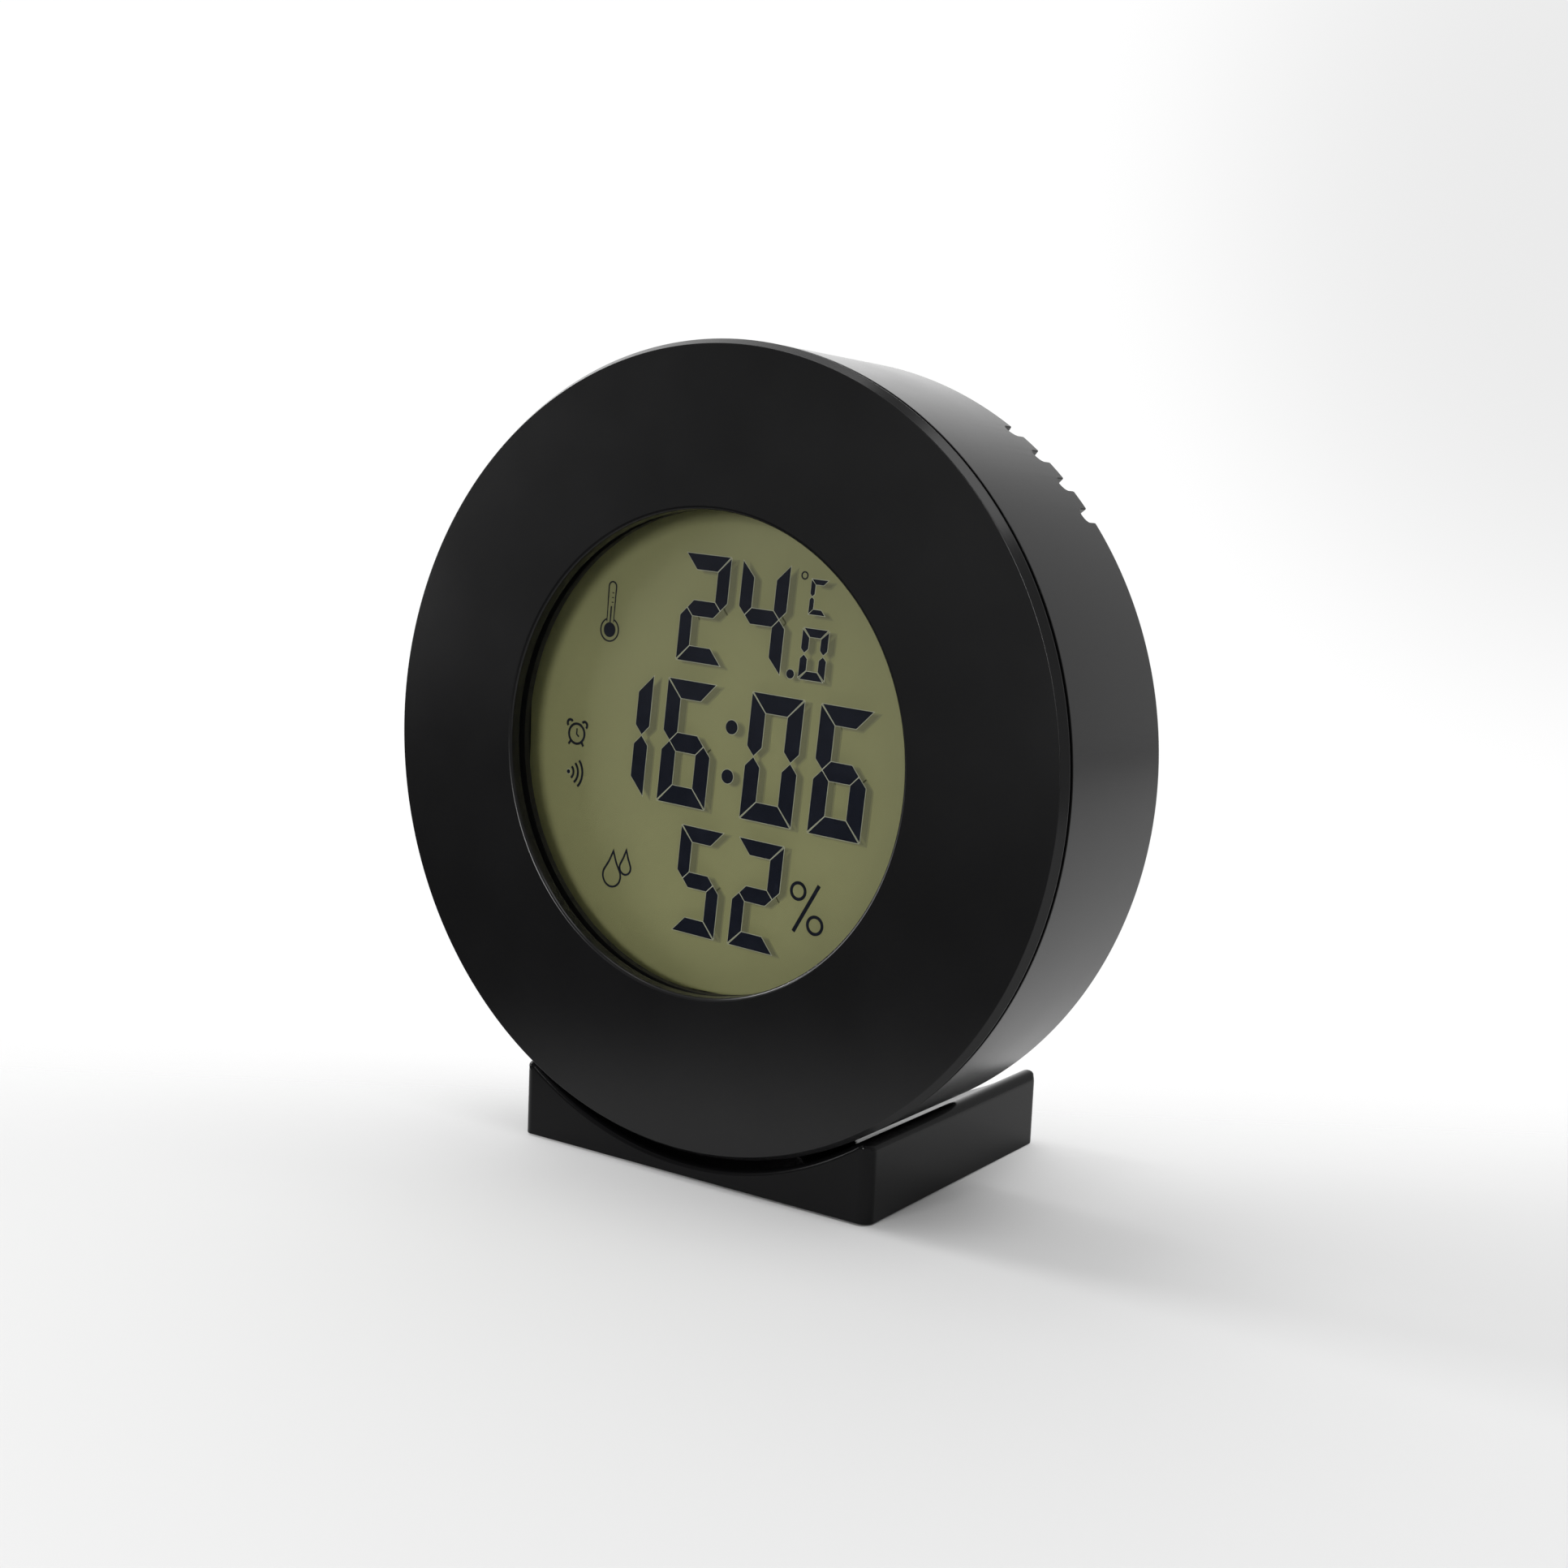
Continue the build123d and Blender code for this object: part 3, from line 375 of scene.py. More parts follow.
# Display: olive reflector film, dark ink between the glasses, soft shadows on the film.
# A shadow keeps a share of the film's colour, and a little more of its blue.
OLIVE = (0.28, 0.283, 0.119)
PALE = (0.44, 0.46, 0.34)
SHADOW_BLUE = 0.08
display_olive = film("display_olive", OLIVE)
grain(display_olive, 6000, 1.5e-6)
display_ink = new_material("display_ink", (0.006, 0.008, 0.015), 0.4, Specular_IOR_Level=0.1)
vary_colour(display_ink, 400, (0.005, 0.007, 0.014), (0.008, 0.010, 0.018))
display_pale = film("display_pale", PALE, 0.03)
display_shade = [
    film(name, (OLIVE[0] * share, OLIVE[1] * share, OLIVE[2] * (share + SHADOW_BLUE)))
    for name, share in (("display_shade_soft", 0.77), ("display_shade_deep", 0.57))
]

lens_clear = new_material("lens_clear", (0.002, 0.002, 0.002), 0.06, Alpha=0.06, IOR=2.0)
vary_roughness(lens_clear, 45, 0.05, 0.08)
display_glass = new_material("display_glass", (0.002, 0.002, 0.002), 0.12, Alpha=0.01)
vary_roughness(display_glass, 120, 0.1, 0.14)

# Main sizes of the drum, as in the CAD
CASE_WALL = 2.0
SNUG_GAP = 0.1
BODY_DEPTH = 25.5
WALL_INNER = 23.5
CASE_BORE = CASE_R - CASE_WALL
SCREW_CIRCLE = 42.6
SCREW_ANGLES = (12, 168, 243, 297)
SCREWS = [(SCREW_CIRCLE * cos(radians(a)), SCREW_CIRCLE * sin(radians(a))) for a in SCREW_ANGLES]

# Front bezel. Profiles are lists of (radius, depth).
WINDOW_R = 29.8
WINDOW_ROUND = 0.5
BAND = 0.65
BAND_DEPTH = 1.0
LAND_DEPTH = 1.1
SPIGOT_WALL = 1.6
SPIGOT_END = 6.0
SPIGOT_R = CASE_BORE - SNUG_GAP
SPIGOT_IN = SPIGOT_R - SPIGOT_WALL
LENS_SEAT = 1.6
COLLAR_IN = 31.9
COLLAR_R = 33.4
COLLAR_END = 2.8
BOSS_FOOT = 1.7
CASE_BOSS_END = 8.8
BOARD_BOSS_END = 6.5
CASE_BOSS = [(3.3, BOSS_FOOT), (3.3, CASE_BOSS_END), (1.2, CASE_BOSS_END), (1.2, BOSS_FOOT)]
BOARD_BOSS = [(2.6, BOSS_FOOT), (2.6, BOARD_BOSS_END), (1.0, BOARD_BOSS_END), (1.0, BOSS_FOOT)]
EAR_X = 36.75
EAR_Z = 20.0
PROFILE_STEPS = 8

bezel = Shape()
bezel.lathe(
    rounded(
        [
            (WINDOW_R, LENS_SEAT), (WINDOW_R, 0),
            (CASE_R - BAND, 0), (CASE_R, BAND_DEPTH), (CASE_R, LAND_DEPTH),
            (SPIGOT_R, LAND_DEPTH), (SPIGOT_R, SPIGOT_END), (SPIGOT_IN, SPIGOT_END), (SPIGOT_IN, LENS_SEAT),
            (COLLAR_R, LENS_SEAT), (COLLAR_R, COLLAR_END), (COLLAR_IN, COLLAR_END), (COLLAR_IN, LENS_SEAT),
        ],
        [0.02, WINDOW_ROUND, 0.12, 0.1, 0.03, 0, 0.2, 0.2, 0, 0, 0.1, 0.1, 0],
        PROFILE_STEPS,
    )
)
for x, z in SCREWS:
    tube(bezel, x, z, CASE_BOSS)
for side_x in (-1, 1):
    for side_z in (-1, 1):
        tube(bezel, side_x * EAR_X, side_z * EAR_Z, BOARD_BOSS)
bezel_obj = bezel.object("front_bezel_face", [case_black])
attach(bezel_obj, "clock")
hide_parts("front_bezel")

# Rear shell: places of what lies in its back
BUTTONS = {name: middle_of("button_" + name) for name in ("set", "down", "up", "unit")}
BUTTON_Z = BUTTONS["set"][1]
KNOB_X, KNOB_Z = middle_of("alarm_knob")
SOUND_X, SOUND_Z = middle_of("sounder_disc")
door_low, door_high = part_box("battery_door")
DOOR_W = (door_high.x - door_low.x) / MM
DOOR_H = 23.4
DOOR_TOP = door_high.z / MM - AXIS_Z
DOOR_Z = DOOR_TOP - DOOR_H / 2
DOOR_GAPS = 0.4
DOOR_SEAT = 23.7
BAY_W = 51.0
BAY_H = 22.0
BAY_CORNER = 0.3
BAY_BOTTOM = DOOR_Z - BAY_H / 2

# Rear shell: its own sizes
SEAM_END = 1.8
BACK_ROUND = 0.8
BACK_RIM = 6
EDGE = 0.15
FLOOR_ROUND = 0.12
STRIP_FLOOR = 24.9
KNOB_FLOOR = 24.6
BUTTON_HOLE_R = 3.2
WELL_R = 2.6
WELL_EDGE = 0.3
FINGER_R = 4.5
FINGER_DEPTH = 0.9
SOUND_HOLE_R = 0.8
SOUND_CIRCLE = 3.4
VENT_ANGLES = (38.3, 43.8, 49.3, 54.8)
VENT_IN_R = 36.0
VENT_OVERRUN = 1.5
VENT_HALF = 0.95
VENT_DEPTH = 3.0
VENT_STEPS = 12
RIB_ROUND = 1.0
OUT = BODY_DEPTH + 1.0
THROUGH = WALL_INNER - 1


def mouth(edge=EDGE, surface=BODY_DEPTH):
    """Last levels of an opening: a small chamfer at the surface, then clear of the piece."""
    return [(surface - edge, 0), (surface + CLEAR, edge), (OUT, edge)]


shell = Shape()
shell.lathe(
    rounded(
        [
            (CASE_BORE, WALL_INNER), (CASE_BORE, SEAM_END), (CASE_R, SEAM_END),
            (CASE_R, BODY_DEPTH), (CASE_R - BACK_RIM, BODY_DEPTH),
        ],
        [0, 0.1, 0.1, BACK_ROUND, 0],
        PROFILE_STEPS,
        closed=False,
    ),
    loop=False,
)
shell_obj = shell.object("rear_shell_drum", [case_black])

wide = Shape()
strip_levels = [(STRIP_FLOOR, -FLOOR_ROUND), (STRIP_FLOOR + FLOOR_ROUND, 0)]
knob_levels = [(KNOB_FLOOR, -FLOOR_ROUND), (KNOB_FLOOR + FLOOR_ROUND, 0)]
pocket(wide, 0, BUTTON_Z, 52.0, 10.0, 5.0, strip_levels + mouth())
pocket(wide, 0, KNOB_Z, 10.8, 5.4, 2.7, knob_levels + mouth())
pocket(wide, 0, DOOR_Z, DOOR_W + DOOR_GAPS, DOOR_H + DOOR_GAPS, 2.0, [(DOOR_SEAT, 0)] + mouth())
for x, z in SCREWS:
    hole(wide, x, z, WELL_R, [(THROUGH, 0)] + mouth(WELL_EDGE))

# Each vent is a slot from the inside out. Its mouth flares in a rounding on both sides,
# half as large at the inner end.
for angle in VENT_ANGLES:
    a = radians(angle)
    rings = []
    for radius, grow, share in (
        (VENT_IN_R, 0, 0.5),
        (CASE_R - EDGE, 0, 1),
        (CASE_R + CLEAR, EDGE, 1),
        (CASE_R + VENT_OVERRUN, EDGE, 1),
    ):
        half = VENT_HALF + grow
        top = BODY_DEPTH - VENT_DEPTH - grow
        turn = RIB_ROUND * share
        steps = [pi * k / VENT_STEPS for k in range(VENT_STEPS + 1)]
        quarter = steps[: VENT_STEPS // 2 + 1]
        bottom = [(half * cos(t), top + VENT_HALF + grow - half * sin(t)) for t in steps]
        flare = [(half + turn * (1 - cos(t)), BODY_DEPTH - turn * (1 - sin(t))) for t in quarter]
        section = bottom + [(-u, depth) for u, depth in flare]
        section += [(-half - turn, OUT), (half + turn, OUT)] + list(reversed(flare))
        rings.append(
            [drum(radius * cos(a) - u * sin(a), radius * sin(a) + u * cos(a), depth) for u, depth in section]
        )
    wide.stack(rings)
cut(shell_obj, wide)

deep = Shape()
for x, z in BUTTONS.values():
    hole(deep, x, z, BUTTON_HOLE_R, [(THROUGH, 0)] + mouth(EDGE, STRIP_FLOOR))
pocket(deep, 0, KNOB_Z, 6.0, 3.8, 0.4, [(THROUGH, 0), (OUT, 0)])
pocket(deep, 0, DOOR_Z, BAY_W, BAY_H, BAY_CORNER, [(THROUGH, 0), (OUT, 0)])
hole(deep, 0, DOOR_TOP, FINGER_R, [(BODY_DEPTH - FINGER_DEPTH, 0)] + mouth())
hole(deep, SOUND_X, SOUND_Z, SOUND_HOLE_R, [(THROUGH, 0)] + mouth(), 24)
for t in turns(6):
    x = SOUND_X + SOUND_CIRCLE * cos(t)
    z = SOUND_Z + SOUND_CIRCLE * sin(t)
    hole(deep, x, z, SOUND_HOLE_R, [(THROUGH, 0)] + mouth(), 24)
cut(shell_obj, deep)
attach(shell_obj, "clock")
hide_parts("rear_shell")

# Battery bay, with windows in its lower wall for the door's hooks
BAY_WALLS = 3.6
BAY_FRONT = 10.6
BAY_FLOOR = 11.8
BAY_EDGE = 0.2
INSIDE_END = 23.6
HOOK_X = 14.0
WINDOW_SIZE = (8.6, 2.8)
WINDOW_START = 20.4


def bay_outside(depth, grow=0):
    width = BAY_W + BAY_WALLS + 2 * grow
    height = BAY_H + BAY_WALLS + 2 * grow
    return [drum(px, DOOR_Z + pz, depth) for px, pz in oblong(width, height, 1.0)]


def bay_inside(depth):
    return [drum(px, DOOR_Z + pz, depth) for px, pz in oblong(BAY_W, BAY_H, BAY_CORNER)]


bay = Shape()
bay.stack(
    [
        bay_outside(BAY_FRONT, -BAY_EDGE),
        bay_outside(BAY_FRONT + BAY_EDGE),
        bay_outside(INSIDE_END),
        bay_inside(INSIDE_END),
        bay_inside(BAY_FLOOR),
    ]
)
bay_obj = bay.object("battery_bay", [inside_black])
windows = Shape()
for side in (-1, 1):
    pocket(windows, side * HOOK_X, BAY_BOTTOM - 0.9, *WINDOW_SIZE, 0.2, [(WINDOW_START, 0), (WALL_INNER, 0)])
cut(bay_obj, windows)
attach(bay_obj, "clock")

# Wells of the case screws and the seat of the sounder, as profiles
WELL_FLOOR = 10.6
WELL = [
    (4.0, CASE_BOSS_END), (4.0, INSIDE_END), (WELL_R, INSIDE_END),
    (WELL_R, WELL_FLOOR), (1.35, WELL_FLOOR), (1.35, CASE_BOSS_END),
]
SOUND_SEAT = [(8.7, 21.7), (8.7, INSIDE_END), (6.5, INSIDE_END), (6.5, 22.0), (7.6, 22.0), (7.6, 21.7)]

mounts = Shape()
for x, z in SCREWS:
    tube(mounts, x, z, WELL)
tube(mounts, SOUND_X, SOUND_Z, SOUND_SEAT)
mounts_obj = mounts.object("shell_mounts", [inside_black])
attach(mounts_obj, "clock")

# Battery door with its grip ribs, hooks and inner ribs
DOOR_INNER = 23.8
DOOR_LEVELS = [
    (DOOR_SEAT, -0.1), (DOOR_INNER, 0),
    (BODY_DEPTH - 0.25, 0), (BODY_DEPTH - 0.07, -0.07), (BODY_DEPTH, -0.25),
]
GRIP_RIBS = 5
GRIP_START = 2.6
GRIP_PITCH = 1.1
GRIP_WIDTH = 9.0
GRIP_NARROWING = 0.9
GRIP_LEVELS = [(BODY_DEPTH - 0.4, 0), (BODY_DEPTH + 0.1, 0), (BODY_DEPTH + 0.2, -0.1)]
HOOK_Z = BAY_BOTTOM + 0.2
HOOK_W = 8.0
HOOK_FRONT = 21.0
RIB_X = 12.0

door = Shape()
pocket(door, 0, DOOR_Z, DOOR_W, DOOR_H, 1.8, DOOR_LEVELS)
for k in range(GRIP_RIBS):
    rib_z = DOOR_TOP - GRIP_START - GRIP_PITCH * k
    pocket(door, 0, rib_z, GRIP_WIDTH - GRIP_NARROWING * k, 0.5, 0.24, GRIP_LEVELS)
for side in (-1, 1):
    pocket(door, side * HOOK_X, HOOK_Z + 0.7, HOOK_W, 1.4, 0.15, [(HOOK_FRONT, 0), (DOOR_INNER, 0)])
    pocket(door, side * HOOK_X, HOOK_Z - 0.2, HOOK_W, 1.6, 0.3, [(HOOK_FRONT, -0.2), (21.3, 0), (22.4, 0)])
    pocket(door, side * RIB_X, DOOR_Z, 2.0, 18.6, 0.2, [(22.7, -0.1), (22.8, 0), (DOOR_INNER, 0)])
door_obj = door.object("battery_door_panel", [case_black])
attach(door_obj, "door")
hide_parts("battery_door")

# Push buttons: a stem, a flange and a cap that is dished a little
NEEDLE_R = 0.02
BUTTON_PROFILE = rounded(
    [
        (NEEDLE_R, 16.6), (1.6, 16.6), (1.6, 22.6), (3.8, 22.6), (3.8, 23.4), (3.0, 23.4), (3.0, BODY_DEPTH),
        (2.2, BODY_DEPTH - 0.02), (1.1, BODY_DEPTH - 0.18), (NEEDLE_R, BODY_DEPTH - 0.22),
    ],
    [0, 0.1, 0.1, 0.1, 0.1, 0.05, 0.35, 0.5, 1.0, 0],
    6,
    closed=False,
)
for name, place in BUTTONS.items():
    key = Shape()
    key.lathe(BUTTON_PROFILE, place, loop=False, segments=64)
    key_obj = key.object("button_cap_" + name, [button_black])
    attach(key_obj, name + "_key")
    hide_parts("button_" + name)

# Alarm knob: a plate inside, a foot for the lever, a grip and its four ribs
KNOB_RIBS = 4
KNOB_RIB_PITCH = 0.9
KNOB_RIB_START = 1.35

knob = Shape()
pocket(knob, KNOB_X, KNOB_Z, 12.0, 6.4, 0.4, [(22.5, -0.1), (22.6, 0), (23.3, 0), (23.4, -0.1)])
pocket(knob, KNOB_X, KNOB_Z, 3.0, 2.8, 0.2, [(18.0, -0.1), (18.1, 0), (22.6, 0)])
pocket(knob, KNOB_X, KNOB_Z, 3.6, 3.4, 0.3, [(23.3, 0), (25.0, 0), (25.2, -0.08)])
for k in range(KNOB_RIBS):
    rib_x = KNOB_X - KNOB_RIB_START + KNOB_RIB_PITCH * k
    pocket(knob, rib_x, KNOB_Z, 0.55, 3.3, 0.2, [(25.0, 0), (25.4, 0), (25.5, -0.1)])
knob_obj = knob.object("alarm_knob_grip", [button_black])
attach(knob_obj, "alarm_slide")
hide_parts("alarm_knob")

# Cells: points of (radius, way along the cell from its flat end)
CELL_PROFILE = rounded(
    [
        (NEEDLE_R, 0.25), (3.6, 0.25), (3.9, 0.0), (5.0, 0.0), (5.25, 0.3), (5.25, 30.0), (5.25, 43.1),
        (5.0, 43.5), (4.4, 43.5), (4.3, 43.2), (3.2, 43.2), (2.9, 43.6), (1.9, 43.6), (1.9, 44.5),
        (NEEDLE_R, 44.5),
    ],
    [0, 0.1, 0.1, 0.1, 0.15, 0, 0.15, 0.1, 0.05, 0.05, 0.1, 0.1, 0.1, 0.25, 0],
    4,
    closed=False,
)
CELL_SEGMENTS = 96
BAND_START = 30.0
BARE_R = 4.2
JACKET_MARK = 0
BAND_MARK = 1
METAL_MARK = 2

for name, facing in (("upper", 1), ("lower", -1)):
    low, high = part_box("cell_" + name)
    cy = (low.y + high.y) / 2 / MM
    cz = (low.z + high.z) / 2 / MM
    flat = (low.x if facing > 0 else high.x) / MM
    cell = Shape()
    rings = []
    for radius, along in CELL_PROFILE:
        x = flat + facing * along
        ring = [(x, cy + radius * cos(t), cz + radius * sin(t)) for t in turns(CELL_SEGMENTS)]
        rings.append(cell.ring(ring))
    for a, b, start, end in zip(rings, rings[1:], CELL_PROFILE, CELL_PROFILE[1:]):
        if (start[0] + end[0]) / 2 < BARE_R:
            cell.mark = METAL_MARK
        elif (start[1] + end[1]) / 2 > BAND_START:
            cell.mark = BAND_MARK
        else:
            cell.mark = JACKET_MARK
        cell.skin(a, b)
    cell.mark = METAL_MARK
    cell.close(rings, False)
    cell_obj = cell.object("cell_body_" + name, [cell_jacket, cell_band, contact_nickel])
    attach(cell_obj, "clock")
    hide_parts("cell_" + name)

# Cradle: its arc runs a little deeper at the middle than at the tips
BASE_W = 54.3
BASE_D = 43.5
BASE_LOW = 0.1
ARC_LOW = 2.05
ARC_STEPS = 72
TIP_GAP = 0.2
TIP_R = 1.3
TIP_SPAN = 2.5
SIDE_ROUND = 1.6
TOP_ROUND = 0.8
LOW_ROUND = 0.2
END_STEPS = 8
HALF_W = BASE_W / 2
TIP_Z = AXIS_Z - sqrt((CASE_R + TIP_GAP) ** 2 - HALF_W**2)
CRADLE_R = (HALF_W**2 + (TIP_Z - ARC_LOW) ** 2) / (2 * (TIP_Z - ARC_LOW))
ARC_Z = ARC_LOW + CRADLE_R


def cradle_outline():
    """Outline of the block seen from the front: point, shift inwards at its ends, depth of the rounding."""
    limit = atan2(HALF_W, sqrt(CRADLE_R**2 - HALF_W**2))
    hollow_arc = []
    for k in range(1, ARC_STEPS):
        t = limit - 2 * limit * k / ARC_STEPS
        hollow_arc.append((CRADLE_R * sin(t), ARC_Z - CRADLE_R * cos(t)))
    corners = [(-HALF_W, BASE_LOW), (HALF_W, BASE_LOW), (HALF_W, TIP_Z)] + hollow_arc + [(-HALF_W, TIP_Z)]
    radii = [LOW_ROUND, LOW_ROUND, TIP_R] + [0] * len(hollow_arc) + [TIP_R]
    kept = [(p, r) for p, r in zip(corners, radii) if r > 0 or abs(p[0]) < HALF_W - TIP_SPAN]
    block = rounded([p for p, r in kept], [r for p, r in kept], PROFILE_STEPS)
    made = []
    for i, place in enumerate(block):
        point = Vector(place)
        along = (Vector(block[(i + 1) % len(block)]) - Vector(block[i - 1])).normalized()
        normal = Vector((along.y, -along.x))
        if point.y < BASE_LOW + LOW_ROUND * 1.05:
            side = -1 if point.x > 0 else 1
            shift = Vector((side * SIDE_ROUND, LOW_ROUND * max(0.0, -normal.y)))
            made.append((point, shift, SIDE_ROUND))
            continue
        share = min(1, max(0, (abs(normal.x) - 0.5) / 0.5))
        share = share * share * (3 - 2 * share)
        edge = TOP_ROUND + (SIDE_ROUND - TOP_ROUND) * share
        made.append((point, -normal * edge, edge))
    return made


outline = cradle_outline()
base = Shape()
rings = []
quarter = [k / END_STEPS * pi / 2 for k in range(END_STEPS + 1)]
for end in (-1, 1):
    for t in quarter if end < 0 else reversed(quarter):
        ring = []
        for point, shift, depth in outline:
            p = point + shift * (1 - sin(t))
            ring.append((p.x, end * (BASE_D / 2 - depth * (1 - cos(t))), p.y))
        rings.append(ring)
base.stack(rings)
base_obj = base.object("cradle_block", [cradle_black])

# Shallow hollow under the block, for the pad
HOLLOW_INSET = 4.0
HOLLOW_REACH = 0.5
hollow = Shape()
hollow_ring = oblong(BASE_W - HOLLOW_INSET, BASE_D - HOLLOW_INSET, 1.5)
hollow.stack([[(px, py, z) for px, py in hollow_ring] for z in (-HOLLOW_REACH, BASE_LOW + HOLLOW_REACH)])
cut(base_obj, hollow)

# Neck between the cradle and the drum, a hair into both
NECK_LOW = 1.5
NECK_SINK = 0.05
NECK_Y = FACE_Y + BODY_DEPTH / 2
neck = Shape()
neck_ring = oblong(30.0, 12.0, 2.0)
neck.stack(
    [
        [(px, NECK_Y + py, NECK_LOW) for px, py in neck_ring],
        [(px, NECK_Y + py, AXIS_Z - sqrt(CASE_R**2 - px**2) + NECK_SINK) for px, py in neck_ring],
    ]
)
neck_obj = neck.object("cradle_neck", [cradle_black])
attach(base_obj, "clock")
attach(neck_obj, "clock")
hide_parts("cradle")

# Display glasses
PANE_EDGE = 0.05
for name, near, far, width, height in (
    ("display_front_glass", 3.8, 4.36, 63.0, 64.0),
    ("display_rear_glass", 4.44, 5.46, 63.0, 61.2),
):
    pane = Shape()
    pane_levels = [(near, -PANE_EDGE), (near + PANE_EDGE, 0), (far - PANE_EDGE, 0), (far, -PANE_EDGE)]
    pocket(pane, 0, 0, width, height, 0.3, pane_levels, 3)
    pane_obj = pane.object(name.replace("display_", "") + "_pane", [display_glass])
    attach(pane_obj, "clock")
    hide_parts(name)

# Print of the display, turned and moved a little on the glass as in the photo
PRINT_TURN = radians(-3.497)
PRINT_SHIFT = (-1.043, -0.196)
PRINT_SCALE = 1.0076
INK_DEPTH = (4.385, 4.415)
FIGURES = {"0": "abcdef", "1": "bc", "2": "abged", "4": "fgbc", "5": "afgcd", "6": "afgedc"}
BAR_SHEAR = 0.022
MITRE = 1.2


def placed(x, z, shift=(0, 0)):
    """Place on the drum of a point of the display's print."""
    px = x * cos(PRINT_TURN) - z * sin(PRINT_TURN)
    pz = x * sin(PRINT_TURN) + z * cos(PRINT_TURN)
    return (px * PRINT_SCALE + PRINT_SHIFT[0] + shift[0], pz * PRINT_SCALE + PRINT_SHIFT[1] + shift[1])


def segments_of(x0, z0, w, h, sv, sh, gap, lit):
    """Polygons of the lit bars of one seven-bar figure, from its lower left corner.

    The bars are sv wide where they stand and sh where they lie.
    """
    m = h / 2
    g = gap / 2
    c = g * MITRE
    shapes = {
        "a": [(2 * g, h), (w - 2 * g, h), (w - sv - c, h - sh), (sv + c, h - sh)],
        "d": [(sv + c, sh), (w - sv - c, sh), (w - 2 * g, 0), (2 * g, 0)],
        "g": [
            (sv / 2 + c, m), (sv + g, m + sh / 2), (w - sv - g, m + sh / 2),
            (w - sv / 2 - c, m), (w - sv - g, m - sh / 2), (sv + g, m - sh / 2),
        ],
        "f": [(0, h - 2 * g), (0, m + sh / 2 + g), (sv / 2, m + c), (sv, m + sh / 2 + g), (sv, h - sh - c)],
        "b": [
            (w, h - 2 * g), (w - sv, h - sh - c), (w - sv, m + sh / 2 + g),
            (w - sv / 2, m + c), (w, m + sh / 2 + g),
        ],
        "e": [(0, 2 * g), (sv, sh + c), (sv, m - sh / 2 - g), (sv / 2, m - c), (0, m - sh / 2 - g)],
        "c": [
            (w, 2 * g), (w, m - sh / 2 - g), (w - sv / 2, m - c),
            (w - sv, m - sh / 2 - g), (w - sv, sh + c),
        ],
    }
    return [[(x0 + px + BAR_SHEAR * (pz - m), z0 + pz) for px, pz in shapes[k]] for k in lit]


def disc(x, z, radius, count=28):
    return [(x + radius * cos(t), z + radius * sin(t)) for t in turns(count)]


def arc(x, z, radius, start, end, count):
    """Points of an arc between two angles in degrees."""
    angles = [radians(start + (end - start) * k / count) for k in range(count + 1)]
    return [(x + radius * cos(t), z + radius * sin(t)) for t in angles]


def drop(x, z, radius, top):
    """Outline of a water drop: round below, pointed above."""
    shoulder_x = 0.42 * radius
    shoulder_z = z + (top - z) * 0.55
    round_part = arc(x, z, radius, 155, 205, 5)[:-1] + arc(x, z, radius, 205, 335, 16)
    round_part += arc(x, z, radius, 335, 385, 5)[1:]
    return round_part + [(x + shoulder_x, shoulder_z), (x, top), (x - shoulder_x, shoulder_z)]


def plate(shape, polygon, depths, shift=(0, 0)):
    shape.stack([[drum(*placed(x, z, shift), d) for x, z in polygon] for d in depths])


def offset_line(points, distance, closed):
    """Points of a line moved sideways by a distance."""
    out = []
    count = len(points)
    for i, point in enumerate(points):
        p = Vector(point)
        before = Vector(points[i - 1])
        after = Vector(points[(i + 1) % count])
        if not closed and i == 0:
            before = p * 2 - after
        if not closed and i == count - 1:
            after = p * 2 - before
        a = (p - before).normalized()
        b = (after - p).normalized()
        n = Vector((-(a.y + b.y), a.x + b.x)).normalized()
        bend = max(0.4, n.dot(Vector((-a.y, a.x))))
        out.append(tuple(p + n * (distance / bend)))
    return out


def ribbon(shape, points, width, depths, closed):
    """Thin printed line along points."""
    left = offset_line(points, width / 2, closed)
    right = offset_line(points, -width / 2, closed)
    if closed:
        near, far = depths
        rings = ((left, near), (left, far), (right, far), (right, near))
        shape.stack([[drum(*placed(x, z), depth) for x, z in side] for side, depth in rings], loop=True)
    else:
        plate(shape, left + list(reversed(right)), depths)


def grown(polygon, distance):
    """Convex polygon made larger on every side."""
    area = sum(a[0] * b[1] - b[0] * a[1] for a, b in zip(polygon, polygon[1:] + polygon[:1]))
    return offset_line(polygon, -distance if area > 0 else distance, True)


# Each figure: its sign, lower left corner, width, height, bar widths
LARGE_GAP = 0.16
SMALL_GAP = 0.2
LARGE_WIDTH = 5
bars = []
for figure, x0, z0, width, height, sv, sh in (
    ("2", -5.94, 11.05, 6.9, 13.25, 1.8, 1.9),
    ("4", 2.77, 11.05, 6.92, 13.25, 1.8, 1.9),
    ("0", 12.3, 11.1, 3.7, 6.1, 1.0, 1.0),
    ("1", -16.82, -6.95, 7.4, 15.6, 2.15, 2.3),
    ("6", -7.1, -6.95, 7.5, 15.6, 2.15, 2.3),
    ("0", 5.8, -6.95, 7.6, 15.6, 2.15, 2.3),
    ("6", 15.8, -6.95, 7.4, 15.6, 2.15, 2.3),
    ("5", -3.1, -22.8, 6.6, 13.5, 1.8, 1.9),
    ("2", 5.69, -22.8, 6.78, 13.5, 1.8, 1.9),
):
    gap = LARGE_GAP if width > LARGE_WIDTH else SMALL_GAP
    bars += segments_of(x0, z0, width, height, sv, sh, gap, FIGURES[figure])
# The sign C, the decimal point and the colon
bars += segments_of(12.9, 18.85, 2.4, 4.15, 0.6, 0.6, 0.08, "afed")
bars += [disc(11.1, 11.5, 0.55), disc(3.3, 3.9, 0.88), disc(3.3, -2.2, 0.88)]

